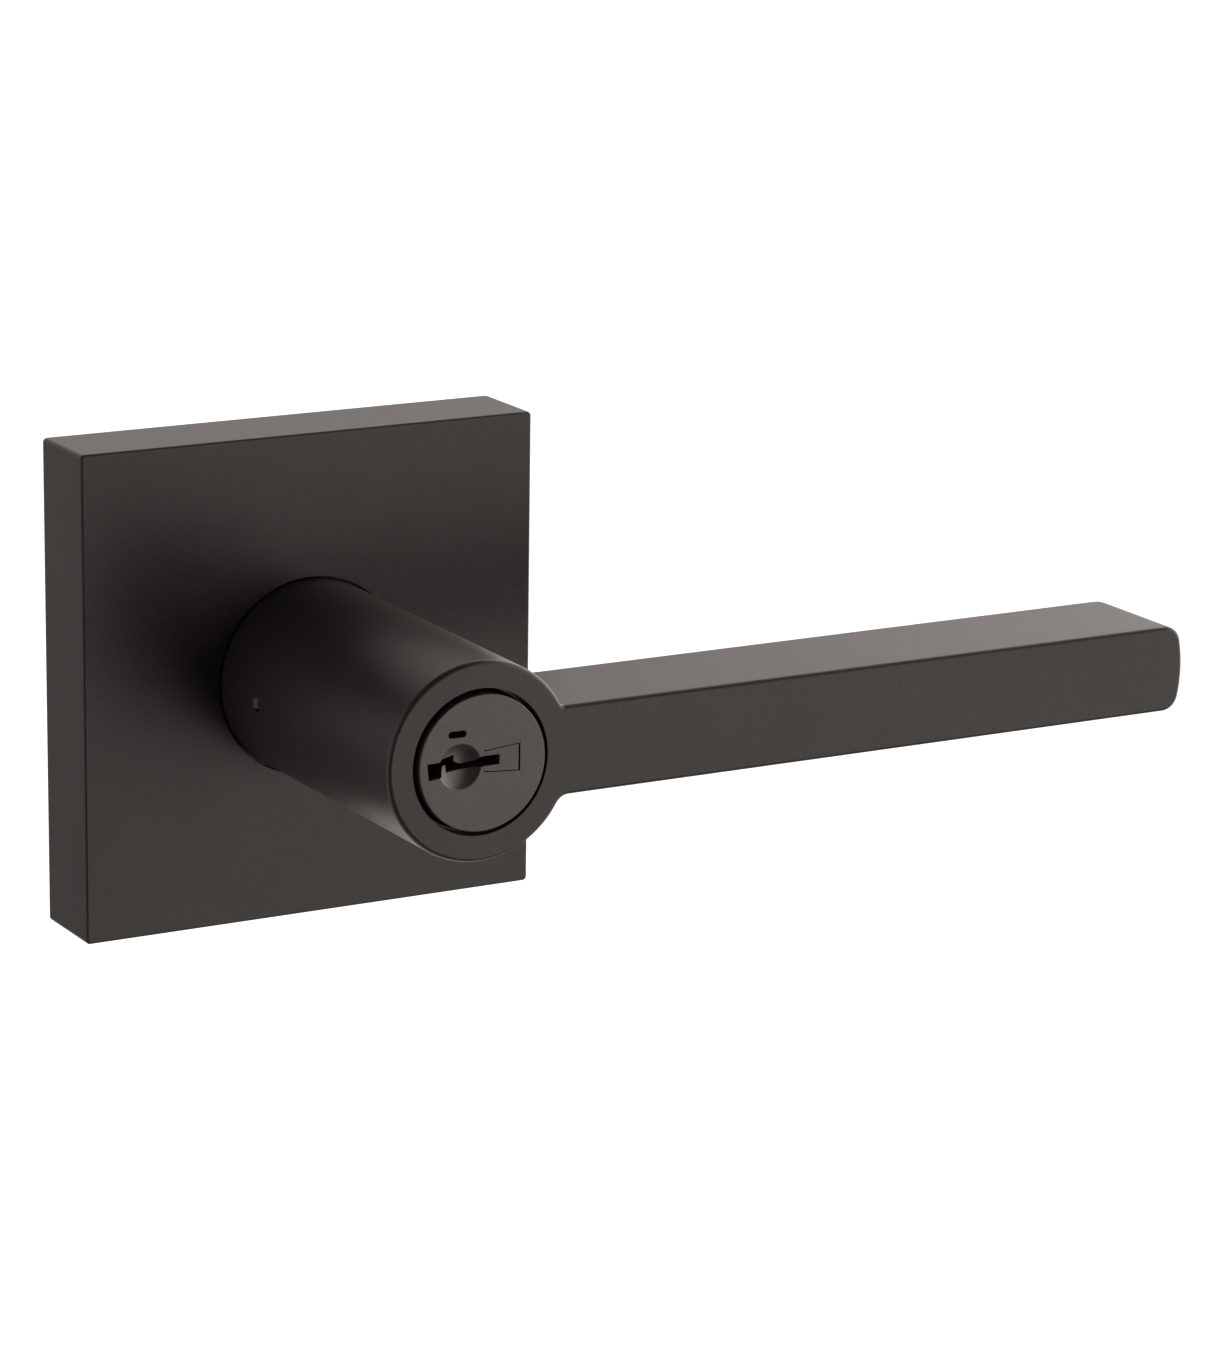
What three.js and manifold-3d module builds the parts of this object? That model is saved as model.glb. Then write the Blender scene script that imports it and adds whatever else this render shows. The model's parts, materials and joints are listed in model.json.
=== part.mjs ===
// Keyed lever handle lockset, outside half, as separate pieces.
// Millimetres. The origin is on the spindle axis, in the plane of the door's face.
// -Y points out of the door to the user, +Y into the door, +X to the lever's tip, +Z up.

import * as THREE from 'three';
import { mergeVertices } from 'three/addons/utils/BufferGeometryUtils.js';
import Module from 'manifold-3d';

// ---------------------------------------------------------------- driving dimensions

const GAP = 0.3; // between pieces that rest on or nest in one another
const RUN = 0.2; // radial running clearance of turning pieces
const GROOVE_PLAY = 0.25; // on each side of a ring in its groove

const ROSE = { half: 33.7, depth: 12.75, wall: 1.5, corner: 0.6, opening: 13.8, insideCorner: 0.4 };
const SNAP_LUG = { half: 5, front: -3.2, rear: -2.2, reach: 0.8, root: 0.2 };
const PLATE = { half: 31.8, thick: 1.6, hole: 11.3, corner: 0.8 };
const POST = { x: 19.05, radius: 4, length: 22, chamfer: 0.5, thread: 2.1, threadFrom: 8 };
const POST_HEAD = { neck: 2.5, radius: 3.6, depth: 1.1 };
const CAGE_SCREW = { offset: 22.5, radius: 1.5, head: 2.8, headDepth: 1.05, length: 8 };
const SCREW_SLOT = { half: 0.35, depth: 0.7 };
const FLUSH = 0.05; // how far a flush head lies below its face

const CAGE = { outer: 26, inner: 25, front: -10.95, wall: 1, rear: -1.9, hole: 12.6 };
const CAGE_STOP = { inner: 15.6, outer: 21.4, angle: 8, rear: -7.3 };
const CAGE_LIMIT = { inner: 22.2, outer: 25.4, at: 64.5, angle: 5 };
const CAGE_BOSS = { radius: 3.4, web: 30, webAngle: 6, holeFront: -9.5 };
const ARC_SPRING = { path: 18.5, coil: 2.1, wire: 0.4, y: -7.1, from: 12, turns: 12 };
const DRIVER = { front: -4.2, thick: 1.6, radius: 21.6, ear: 24.6, earAngle: 8 };
const DRIVER_LUG = { inner: 15.8, outer: 21.2, front: -6.9 };
const BUSH = { front: -10.9, rear: -5, flangeFront: -9.65, flangeRear: -8.8, flange: 1.5 };
const WASHER = { inner: 11.2, outer: 14.2, rear: 0.85 };

const HUB = { front: -62, rear: -12, frontRadius: 13.35, rearRadius: 13.5, bore: 11.3, edge: 0.65 };
const HUB_EDGE_STEP = 0.3; // share of the front edge's rounding at its middle
const LIP = { thick: 2, opening: 9.75 };
const BAR = { half: 6, rear: -44.4, tip: 109.8, bulge: 0.95, corner: 2.5, planCorner: 1.3 };
const FILLET = { upper: 0.8, lower: 2, root: 4, rootX: 9.9 };

const TUBE = { outer: 10.9, inner: 9.3, front: -29, rear: 3.5, flat: 10.4, flatFront: -4.6 };
const TUBE_END = { front: 1.5, hole: 3.9 };
const TUBE_CLIP = { inner: 10.35, outer: 13.2, front: 1.15, rear: 2.05, groove: 10.05, openAngle: 25 };
const DRIVE_KEY = { half: 1.5, front: -27, rear: -14, inner: 10.1, root: 0.4, play: 0.4 };
const SPINDLE = { half: 4, base: 4.15, bore: 3.2, end: 45, chamfer: 0.5, footEnd: 3.8 };
const SPINDLE_FLANGE = { front: -0.4, rear: 1.2 };
const SPINDLE_CLIP = { inner: 7.4, outer: 9.7, front: -1.95, rear: -1.15, groove: 9.9, openAngle: 30 };
const CATCH = { y: -23.5, nose: 1.9, hole: 2.3, poke: 1, reach: 12.3, tipStep: 0.4 };
const CATCH_SHOULDER = { half: 2.2, halfZ: 2, outer: 8.8, inner: 7.8 };
const CATCH_SPRING = { reach: 70, rest: 8.8, bow: 1.55, half: 0.2, halfWidth: 2.5 };

const HOUSING = { outer: 11, inner: 9.4, front: -59.7, rear: -33 };
const HOUSING_KEY = { half: 1.5, front: -49.4, reach: 12, root: 0.4 };
const BAR_GROOVE = { half: 0.95, bottom: 10.1 };
const PLUG = { radius: 9.1, face: -62.5, rear: -31, shoulder: -33.3, neck: 8, edge: 0.3 };
const PLUG_CLIP = { inner: 7.3, outer: 10.4, front: -32.5, rear: -31.9, groove: 7, openAngle: 50 };
const KEYWAY = { rear: -34, top: 0.9, bottom: -0.4, right: 2.46 };
const DISH = { x: -3.28, z: -0.12, radius: 3.15, depth: 1 };
const TOOL_SLOT = { left: -4.97, right: -2.32, bottom: 3.77, top: 4.69 };
const INSERT = { left: 0.2, right: 5.22, leftZ: [-1.12, 1.53], rightZ: [-1.51, 1.97], rear: -60 };
const INSERT_SEAT = { side: 0.12, right: 0.25 };
const PINS = { count: 5, first: 6.5, pitch: 3.8, radius: 1.15, bore: 1.45, tip: -0.4, end: 3.4 };
const PIN_NOSE = { step: 0.45, length: 0.4 };
const PIN_SPRING = { from: 3.7, length: 4.2, radius: 0.8, wire: 0.15, turns: 4.5 };
const STRIP = { front: -58.1, rear: -38.7, half: 1.8, inner: 8.3, seat: 8 };
const POCKET = { half: 5.6, front: -57.7, rear: -36.2, floor: 2, combFloor: 1.3, combRight: 6.3 };
const TOOTH = { pitch: 0.8, pinFrom: 0.2, pinCount: 4, rackFrom: -0.2, rackCount: 3 };
const PIN_COMB = { root: 1.35, tip: 1.8, bottom: 0.4, half: 0.5 };
const RACK_COMB = { root: 2.1, tip: 1.65, bottom: 2.6, half: 0.6 };
const RACK = { left: -3.5, right: 2.3, bottom: 2.45, top: 4.6 };
const RACK_NOTCH = { left: -2.3, right: -0.7, bottom: 3.9 };
const CARRIER = { half: 5.3, front: -57.4, rear: -39, floor: 2.35, roof: 5.6, slotTop: 4.9, slotLeft: -3.8 };
const CARRIER_SPRING = { x: -3.5, z: 3.8, from: -38.7, length: 4.6, radius: 0.75, wire: 0.15, turns: 5 };
const CARRIER_HOLE = { radius: 1.15, rear: -33.8 };
const LOCK_BAR = { half: 0.6, front: -59.1, rear: -33.9, foot: 5.1, ledge: 7.25, top: 8.7 };
const LOCK_RIDGE = { half: 0.2, depth: 0.5 };
const LOCK_BLADE = { front: -56.3, rear: -37.7 };
const BAR_SPRING = { places: [-58.55, -34.9], from: 5.1, length: 1.9, radius: 0.6, wire: 0.12, turns: 4 };
const BAR_SPRING_HOLE = { radius: 0.95, bottom: 4.9 };
const COVER = { inner: 5.9, ledge: 6.95 };
const TORQUE_BAR = { radius: 2.4, front: -29, end: 52, neck: 2 };
const TORQUE_HEAD = { halfX: 3.6, front: -32.9, rear: -31.3, bottom: -1.5, top: 1 };
const TAIL_CAP = { inner: 2.75, outer: 7.5, front: -30.7, rear: -29.3 };

const pinPlaces = Array.from({ length: PINS.count }, (_, i) => PLUG.face + PINS.first + i * PINS.pitch);
const degrees = (angle) => THREE.MathUtils.degToRad(angle);

// ---------------------------------------------------------------- solids

const wasm = await Module();
wasm.setup();

// A closed three.js geometry as a solid that can be joined and cut.
function solid(geometry) {
  const bare = geometry.index ? geometry.toNonIndexed() : geometry.clone();
  for (const name of Object.keys(bare.attributes)) {
    if (name !== 'position') bare.deleteAttribute(name);
  }
  const merged = mergeVertices(bare, 1e-4);
  const corners = merged.index.array;
  const kept = [];
  for (let i = 0; i < corners.length; i += 3) {
    const [a, b, c] = corners.slice(i, i + 3);
    if (a !== b && b !== c && c !== a) kept.push(a, b, c);
  }
  const build = (triangles) =>
    new wasm.Manifold(
      new wasm.Mesh({
        numProp: 3,
        vertProperties: merged.attributes.position.array,
        triVerts: new Uint32Array(triangles),
      }),
    );
  const made = build(kept);
  return made.volume() < 0 ? build(kept.reverse()) : made;
}

function geometryOf(body) {
  const mesh = body.getMesh();
  const geometry = new THREE.BufferGeometry();
  geometry.setAttribute('position', new THREE.BufferAttribute(mesh.vertProperties, 3));
  geometry.setIndex(new THREE.BufferAttribute(mesh.triVerts, 1));
  geometry.computeVertexNormals();
  return geometry;
}

const join = (first, ...others) => others.reduce((all, next) => all.add(next), first);
const cut = (first, ...others) => others.reduce((all, next) => all.subtract(next), first);

// A box from its limits along x, y and z.
function block([x0, x1], [y0, y1], [z0, z1]) {
  const box = new THREE.BoxGeometry(x1 - x0, y1 - y0, z1 - z0);
  return solid(box.translate((x0 + x1) / 2, (y0 + y1) / 2, (z0 + z1) / 2));
}

// A solid turned about the Y axis. The profile is [radius, y] points, and closes on itself
// unless both its ends are on the axis.
function turned(profile, segments = 32) {
  const points = profile.map(([radius, y]) => new THREE.Vector2(radius, y));
  if (profile[0][0] > 0) points.push(points[0].clone());
  return solid(new THREE.LatheGeometry(points, segments));
}

const disc = (radius, y0, y1, segments) =>
  turned([[0, y0], [radius, y0], [radius, y1], [0, y1]], segments);

const ring = (inner, outer, y0, y1, segments) =>
  turned([[inner, y0], [outer, y0], [outer, y1], [inner, y1]], segments);

// A round rod along x, y or z, from low to high, through the point where it crosses (u, v)
// on the two other axes in x, y, z order.
function rod(axis, radius, low, high, u, v, segments = 16) {
  const cylinder = new THREE.CylinderGeometry(radius, radius, high - low, segments);
  const middle = (low + high) / 2;
  if (axis === 'x') return solid(cylinder.rotateZ(Math.PI / 2).translate(middle, u, v));
  if (axis === 'z') return solid(cylinder.rotateX(Math.PI / 2).translate(u, v, middle));
  return solid(cylinder.translate(u, middle, v));
}

// A prism along Y of a shape drawn in x and z.
function prismY(shape, y0, y1, curveSegments = 12) {
  const extruded = new THREE.ExtrudeGeometry(shape, { depth: y1 - y0, bevelEnabled: false, curveSegments });
  return solid(extruded.rotateX(Math.PI / 2).translate(0, y1, 0));
}

// A prism along Z of a shape drawn in x and y.
function prismZ(shape, z0, z1, curveSegments = 12) {
  const extruded = new THREE.ExtrudeGeometry(shape, { depth: z1 - z0, bevelEnabled: false, curveSegments });
  return solid(extruded.translate(0, 0, z0));
}

const polygon = (points) => new THREE.Shape(points.map(([x, y]) => new THREE.Vector2(x, y)));

// Part of a ring about the Y axis, centred on an angle counted from +X towards +Z.
function sector(inner, outer, middle, halfAngle, y0, y1, curveSegments = 2) {
  const from = degrees(middle - halfAngle);
  const to = degrees(middle + halfAngle);
  const shape = new THREE.Shape();
  shape.absarc(0, 0, outer, from, to, false);
  shape.absarc(0, 0, inner, to, from, true);
  shape.closePath();
  return prismY(shape, y0, y1, curveSegments);
}

function roundedSquare(half, corner) {
  const shape = new THREE.Shape();
  const inset = half - corner;
  shape.absarc(inset, inset, corner, 0, Math.PI / 2, false);
  shape.absarc(-inset, inset, corner, Math.PI / 2, Math.PI, false);
  shape.absarc(-inset, -inset, corner, Math.PI, 1.5 * Math.PI, false);
  shape.absarc(inset, -inset, corner, 1.5 * Math.PI, 2 * Math.PI, false);
  shape.closePath();
  return shape;
}

// The path of a coil spring's wire: place(t) is the coil's centre line, side and rise are the
// two directions across it at t.
class CoilPath extends THREE.Curve {
  constructor(radius, turns, frameAt) {
    super();
    Object.assign(this, { radius, turns, frameAt });
  }

  getPoint(t, target = new THREE.Vector3()) {
    const { place, side, rise } = this.frameAt(t);
    const turn = 2 * Math.PI * this.turns * t;
    target.copy(place);
    target.addScaledVector(side, this.radius * Math.cos(turn));
    return target.addScaledVector(rise, this.radius * Math.sin(turn));
  }
}

function coil(path, wire, stepsPerTurn, sides = 5) {
  const section = polygon(Array.from({ length: sides }, (_, i) => {
    const angle = (2 * Math.PI * i) / sides;
    return [wire * Math.cos(angle), wire * Math.sin(angle)];
  }));
  const steps = Math.round(path.turns * stepsPerTurn);
  return solid(new THREE.ExtrudeGeometry(section, { steps, bevelEnabled: false, extrudePath: path }));
}

// A straight coil spring along x, y or z, in its own frame, starting at 0.
function straightCoil(axis, { length, radius, wire, turns }) {
  const unit = {
    x: new THREE.Vector3(1, 0, 0),
    y: new THREE.Vector3(0, 1, 0),
    z: new THREE.Vector3(0, 0, 1),
  };
  const [side, rise] = ['x', 'y', 'z'].filter((name) => name !== axis).map((name) => unit[name]);
  const along = (t) => wire + t * (length - 2 * wire);
  const frameAt = (t) => ({ place: unit[axis].clone().multiplyScalar(along(t)), side, rise });
  return coil(new CoilPath(radius, turns, frameAt), wire, 6, 4);
}

// ---------------------------------------------------------------- fixed pieces on the door

function roseCover() {
  const wallInside = ROSE.half - ROSE.wall;
  const shell = prismY(roundedSquare(ROSE.half, ROSE.corner), -ROSE.depth, 0, 3);
  const hollow = prismY(roundedSquare(wallInside, ROSE.insideCorner), -ROSE.depth + ROSE.wall, 1, 1);
  const opening = disc(ROSE.opening, -ROSE.depth - 1, 0, 56);
  const lugs = [-1, 1].map((side) => {
    const reach = [wallInside - SNAP_LUG.reach, wallInside + SNAP_LUG.root];
    const edges = reach.map((value) => side * value).sort((a, b) => a - b);
    return block([-SNAP_LUG.half, SNAP_LUG.half], [SNAP_LUG.front, SNAP_LUG.rear], edges);
  });
  return join(cut(shell, hollow, opening), ...lugs);
}

// A countersunk hole through the mounting plate, wide at y = wideEnd.
function countersink(narrow, wide, wideEnd, narrowEnd, x, z) {
  const inwards = Math.sign(narrowEnd - wideEnd);
  const cone = turned([
    [0, wideEnd - inwards], [wide, wideEnd - inwards], [wide, wideEnd],
    [narrow, wideEnd + inwards * POST_HEAD.depth], [narrow, narrowEnd + inwards], [0, narrowEnd + inwards],
  ], 20);
  return cone.translate([x, 0, z]);
}

const screwPlaces = [
  { name: 'cage_screw_upper', x: CAGE_SCREW.offset, z: CAGE_SCREW.offset },
  { name: 'cage_screw_lower', x: -CAGE_SCREW.offset, z: -CAGE_SCREW.offset },
];

function mountingPlate() {
  const plate = prismY(roundedSquare(PLATE.half, PLATE.corner), -PLATE.thick, 0, 1);
  const posts = [-POST.x, POST.x].map((x) =>
    countersink(POST_HEAD.neck + GAP, POST_HEAD.radius + GAP, -PLATE.thick, 0, x, 0));
  const screws = screwPlaces.map(({ x, z }) =>
    countersink(CAGE_SCREW.radius + GAP, CAGE_SCREW.head + GAP, 0, -PLATE.thick, x, z));
  return cut(plate, disc(PLATE.hole, -2 * PLATE.thick, 1), ...posts, ...screws);
}

// A threaded post with its riveted head flush with the plate's front.
function post() {
  const { radius, length, chamfer, thread, threadFrom } = POST;
  const head = -PLATE.thick + FLUSH;
  return turned([
    [0, head], [POST_HEAD.radius, head], [POST_HEAD.neck, -PLATE.thick + POST_HEAD.depth],
    [POST_HEAD.neck, GAP], [radius, GAP], [radius, length - chamfer], [radius - chamfer, length],
    [thread, length], [thread, threadFrom], [0, threadFrom],
  ], 20);
}

function springCage() {
  const cup = turned([
    [CAGE.hole, CAGE.front], [CAGE.outer, CAGE.front], [CAGE.outer, CAGE.rear],
    [CAGE.inner, CAGE.rear], [CAGE.inner, CAGE.front + CAGE.wall], [CAGE.hole, CAGE.front + CAGE.wall],
  ], 48);
  const root = CAGE.front + CAGE.wall / 2;
  const stops = [90, 270].map((at) =>
    sector(CAGE_STOP.inner, CAGE_STOP.outer, at, CAGE_STOP.angle, root, CAGE_STOP.rear));
  const limits = [1, -1].flatMap((side) => [side * CAGE_LIMIT.at, side * (180 - CAGE_LIMIT.at)]).map((at) =>
    sector(CAGE_LIMIT.inner, CAGE_LIMIT.outer, at, CAGE_LIMIT.angle, root, CAGE.rear));
  const bosses = screwPlaces.map(({ x, z }) =>
    rod('y', CAGE_BOSS.radius, CAGE.front, CAGE.rear, x, z, 20));
  const webs = [45, 225].map((at) =>
    sector(CAGE_LIMIT.outer, CAGE_BOSS.web, at, CAGE_BOSS.webAngle, CAGE.front, CAGE.rear, 3));
  const holes = screwPlaces.map(({ x, z }) =>
    rod('y', CAGE_SCREW.radius + GAP, CAGE_BOSS.holeFront, 0, x, z, 16));
  return cut(join(cup, ...stops, ...limits, ...bosses, ...webs), ...holes);
}

function cageScrew() {
  const { radius, head, headDepth, length } = CAGE_SCREW;
  const shape = turned([
    [0, -length], [radius, -length], [radius, -FLUSH - headDepth], [head, -FLUSH], [0, -FLUSH],
  ], 16);
  const slot = SCREW_SLOT.half;
  return cut(shape, block([-head - 1, head + 1], [-SCREW_SLOT.depth, 1], [-slot, slot]));
}

// One return spring, curved about the spindle axis, centred on an angle.
function returnSpring(middle) {
  const half = 90 - ARC_SPRING.from;
  const frameAt = (t) => {
    const angle = degrees(middle - half + 2 * half * t);
    const side = new THREE.Vector3(Math.cos(angle), 0, Math.sin(angle));
    const place = side.clone().multiplyScalar(ARC_SPRING.path).setY(ARC_SPRING.y);
    return { place, side, rise: new THREE.Vector3(0, 1, 0) };
  };
  return coil(new CoilPath(ARC_SPRING.coil, ARC_SPRING.turns, frameAt), ARC_SPRING.wire, 8, 4);
}

function tubeBush() {
  const bore = TUBE.outer + RUN;
  const outer = CAGE.hole - GAP;
  const flange = outer + BUSH.flange;
  return turned([
    [bore, BUSH.front], [outer, BUSH.front], [outer, BUSH.flangeFront], [flange, BUSH.flangeFront],
    [flange, BUSH.flangeRear], [outer, BUSH.flangeRear], [outer, BUSH.rear], [bore, BUSH.rear],
  ]);
}

// ---------------------------------------------------------------- lever and drive

// A fillet between the hub's front circle and one long edge of the lever bar.
function filletWedge(radius, side) {
  const reach = HUB.frontRadius + radius;
  const height = BAR.half + radius;
  const centre = [Math.sqrt(reach ** 2 - height ** 2), side * height];
  const onHub = centre.map((value) => (value * HUB.frontRadius) / reach);
  const steps = 5;
  const start = Math.atan2(onHub[1] - centre[1], onHub[0] - centre[0]);
  const end = side > 0 ? -Math.PI / 2 : Math.PI / 2;
  const sweep = THREE.MathUtils.euclideanModulo(end - start + Math.PI, 2 * Math.PI) - Math.PI;
  const arc = Array.from({ length: steps + 1 }, (_, i) => {
    const angle = start + (sweep * i) / steps;
    return [centre[0] + radius * Math.cos(angle), centre[1] + radius * Math.sin(angle)];
  });
  const root = side * FILLET.root;
  return prismY(polygon([[FILLET.rootX, root], ...arc, [centre[0], root]]), HUB.front, BAR.rear);
}

// The bar seen from the front, with its bulged tip and rounded tip corners.
function barOutline() {
  const { half, tip, bulge, corner } = BAR;
  const bulgeRadius = (half ** 2 + bulge ** 2) / (2 * bulge);
  const atCorner = half - corner;
  const cornerX = tip - bulgeRadius + Math.sqrt((bulgeRadius - corner) ** 2 - atCorner ** 2);
  const meet = Math.atan2(atCorner, cornerX - (tip - bulgeRadius));
  const shape = new THREE.Shape();
  shape.moveTo(LIP.opening, -half);
  shape.lineTo(cornerX, -half);
  shape.absarc(cornerX, -atCorner, corner, -Math.PI / 2, -meet, false);
  shape.absarc(tip - bulgeRadius, 0, bulgeRadius, -meet, meet, false);
  shape.absarc(cornerX, atCorner, corner, meet, Math.PI / 2, false);
  shape.lineTo(LIP.opening, half);
  shape.closePath();
  return shape;
}

// The bar seen from above, with its rear corner rounded at the tip.
function barPlan() {
  const { rear, tip, planCorner } = BAR;
  const shape = new THREE.Shape();
  shape.moveTo(0, HUB.front);
  shape.lineTo(tip + 1, HUB.front);
  shape.lineTo(tip + 1, rear - planCorner);
  shape.lineTo(tip, rear - planCorner);
  shape.absarc(tip - planCorner, rear - planCorner, planCorner, 0, Math.PI / 2, false);
  shape.lineTo(0, rear);
  shape.closePath();
  return shape;
}

function lever() {
  const { front, rear, frontRadius, rearRadius, bore, edge } = HUB;
  const hub = turned([
    [0, front], [frontRadius - edge, front],
    [frontRadius - HUB_EDGE_STEP * edge, front + HUB_EDGE_STEP * edge],
    [frontRadius, front + edge], [rearRadius, -ROSE.depth], [rearRadius, rear], [0, rear],
  ], 56);
  const plan = prismZ(barPlan(), -BAR.half - 1, BAR.half + 1, 6);
  const bar = prismY(barOutline(), front, BAR.rear, 6).intersect(plan);
  const body = join(hub, bar, filletWedge(FILLET.upper, 1), filletWedge(FILLET.lower, -1));
  const keyHalf = HOUSING_KEY.half + GAP;
  const keyway = block(
    [-keyHalf, keyHalf], [HOUSING_KEY.front - GAP, rear + 1], [-HOUSING_KEY.reach - GAP, -bore + 1],
  );
  const hollowed = cut(
    body,
    disc(LIP.opening, front - 1, rear + 1),
    disc(bore, front + LIP.thick, rear + 1),
    keyway,
    rod('x', CATCH.hole, -CATCH.reach - CATCH.tipStep, -bore + 1, CATCH.y, 0, 16),
    rod('x', CATCH.poke, -rearRadius - 1, -CATCH.reach, CATCH.y, 0, 16),
  );
  const key = block(
    [DRIVE_KEY.inner, bore + DRIVE_KEY.root],
    [DRIVE_KEY.front, DRIVE_KEY.rear],
    [-DRIVE_KEY.half, DRIVE_KEY.half],
  );
  return join(hollowed, key);
}

function driveTube() {
  const { outer, inner, front, rear, flat, flatFront } = TUBE;
  const groove = (clip, wall) => [
    [wall, clip.front - GROOVE_PLAY], [clip.groove, clip.front - GROOVE_PLAY],
    [clip.groove, clip.rear + GROOVE_PLAY], [wall, clip.rear + GROOVE_PLAY],
  ];
  const shape = turned([
    [inner, front], [outer, front], ...groove(TUBE_CLIP, outer), [outer, rear], [TUBE_END.hole, rear],
    [TUBE_END.hole, TUBE_END.front], [inner, TUBE_END.front], ...groove(SPINDLE_CLIP, inner).reverse(),
  ]);
  const flats = [[flat, outer + 1], [-outer - 1, -flat]].map((limits) =>
    block([-outer - 1, outer + 1], [flatFront, rear + 1], limits));
  const square = SPINDLE.base + GAP;
  const keyHalf = DRIVE_KEY.half + GAP;
  return cut(
    shape,
    ...flats,
    block([-square, square], [TUBE_END.front - 1, rear + 1], [-square, square]),
    block([inner - 1, outer + 1], [front - 1, DRIVE_KEY.rear + DRIVE_KEY.play], [-keyHalf, keyHalf]),
    rod('x', CATCH.hole, -outer - 1, -inner + 1, CATCH.y, 0, 16),
  );
}

function springDriver() {
  const { front, thick, radius, ear, earAngle } = DRIVER;
  const rear = front + thick;
  const ears = [0, 180].map((at) => sector(radius - 2, ear, at, earAngle, front, rear));
  const lugs = [90, 270].map((at) =>
    sector(DRIVER_LUG.inner, DRIVER_LUG.outer, at, earAngle, DRIVER_LUG.front, front + thick / 2));
  const bore = disc(TUBE.outer + GAP, front - 1, rear + 1);
  const flats = block([-radius, radius], [front - 1, rear + 1], [-TUBE.flat - GAP, TUBE.flat + GAP]);
  return cut(join(disc(radius, front, rear, 40), ...ears, ...lugs), bore.intersect(flats));
}

// A snap ring about the Y axis with an opening centred on an angle.
function snapRing({ inner, outer, front, rear, openAngle }, openAt) {
  const from = degrees(openAt + openAngle);
  const to = degrees(openAt + 360 - openAngle);
  const shape = new THREE.Shape();
  shape.absarc(0, 0, outer, from, to, false);
  shape.absarc(0, 0, inner, to, from, true);
  shape.closePath();
  return prismY(shape, front, rear, 10);
}

function spindle() {
  const { half, base, bore, end, chamfer, footEnd } = SPINDLE;
  const side = half - chamfer;
  const bar = polygon([
    [side, -half], [half, -side], [half, side], [side, half],
    [-side, half], [-half, side], [-half, -side], [-side, -half],
  ]);
  const flange = disc(TUBE.inner - GAP, SPINDLE_FLANGE.front, SPINDLE_FLANGE.rear);
  const foot = block([-base, base], [SPINDLE_FLANGE.rear - 0.2, footEnd], [-base, base]);
  return cut(join(flange, foot, prismY(bar, footEnd - 1, end)), disc(bore, -1, end + 1, 20));
}

function leverCatch() {
  const { y, nose, reach, tipStep } = CATCH;
  const { half, halfZ, outer, inner } = CATCH_SHOULDER;
  const stem = rod('x', nose, -reach + GAP, -outer + tipStep, y, 0, 16);
  const tip = rod('x', nose - tipStep, -reach, -reach + 2 * tipStep, y, 0, 16);
  return join(stem, tip, block([-outer, -inner], [y - half, y + half], [-halfZ, halfZ]));
}

// A leaf bowed inwards at the catch, with both ends resting on the tube's inside.
function catchSpring() {
  const { reach, rest, bow, half, halfWidth } = CATCH_SPRING;
  const steps = 20;
  const edge = (offset) => Array.from({ length: steps + 1 }, (_, i) => {
    const angle = -reach + (2 * reach * i) / steps;
    const radius = rest - bow * Math.cos(degrees((angle * 90) / reach)) ** 2 + offset;
    return [-radius * Math.cos(degrees(angle)), radius * Math.sin(degrees(angle))];
  });
  const outline = [...edge(half), ...edge(-half).reverse()];
  return prismY(polygon(outline), CATCH.y - halfWidth, CATCH.y + halfWidth);
}

// ---------------------------------------------------------------- lock cylinder

function cylinderHousing() {
  const { outer, inner, front, rear } = HOUSING;
  const { half, bottom } = BAR_GROOVE;
  const keyHalf = HOUSING_KEY.half;
  const key = block(
    [-keyHalf, keyHalf], [HOUSING_KEY.front, rear], [-HOUSING_KEY.reach, -outer + HOUSING_KEY.root],
  );
  return cut(
    join(ring(inner, outer, front, rear), key),
    block([-half, half], [front - 1, rear + 1], [inner - 1, bottom]),
    block([inner - 1, bottom], [front - 1, rear + 1], [-half, half]),
  );
}

const keywaySection = polygon([
  [-7.97, 0.79], [-7.76, -1.45], [-5.8, -1.27], [-5.58, 0.14], [-5.1, 0.23], [-4.89, -0.86],
  [-2.54, -0.68], [-0.26, -0.47], [KEYWAY.right, KEYWAY.bottom], [KEYWAY.right, KEYWAY.top],
  [-0.2, KEYWAY.top], [-0.8, 0.4], [-2.76, 0.08], [-3.2, 0.2], [-3.7, 0.5], [-3.78, 1.38],
  [-5.8, 1.12], [-6, 0.82],
]);

const insertOutline = (side, right) => polygon([
  [INSERT.left, INSERT.leftZ[0] - side], [INSERT.right + right, INSERT.rightZ[0] - side],
  [INSERT.right + right, INSERT.rightZ[1] + side], [INSERT.left, INSERT.leftZ[1] + side],
]);

// The shallow spherical hollow in the plug's face round the keyway.
function plugDish() {
  const { x, z, radius, depth } = DISH;
  const ballRadius = (radius ** 2 + depth ** 2) / (2 * depth);
  const rim = Math.asin(radius / ballRadius);
  const steps = 5;
  const bowl = Array.from({ length: steps + 1 }, (_, i) => {
    const angle = (rim * (steps - i)) / steps;
    return [ballRadius * Math.sin(angle), PLUG.face + ballRadius * (Math.cos(angle) - Math.cos(rim))];
  });
  return turned([[0, PLUG.face - 1], [radius, PLUG.face - 1], ...bowl], 28).translate([x, 0, z]);
}

// The slot in the plug's face that a rekeying tool reaches the rack carrier through.
function toolSlot() {
  const { left, right, bottom, top } = TOOL_SLOT;
  const end = (top - bottom) / 2;
  const shape = new THREE.Shape();
  shape.absarc(right - end, bottom + end, end, -Math.PI / 2, Math.PI / 2, false);
  shape.absarc(left + end, bottom + end, end, Math.PI / 2, 1.5 * Math.PI, false);
  shape.closePath();
  return prismY(shape, PLUG.face - 1, POCKET.front + 0.2, 5);
}

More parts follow.
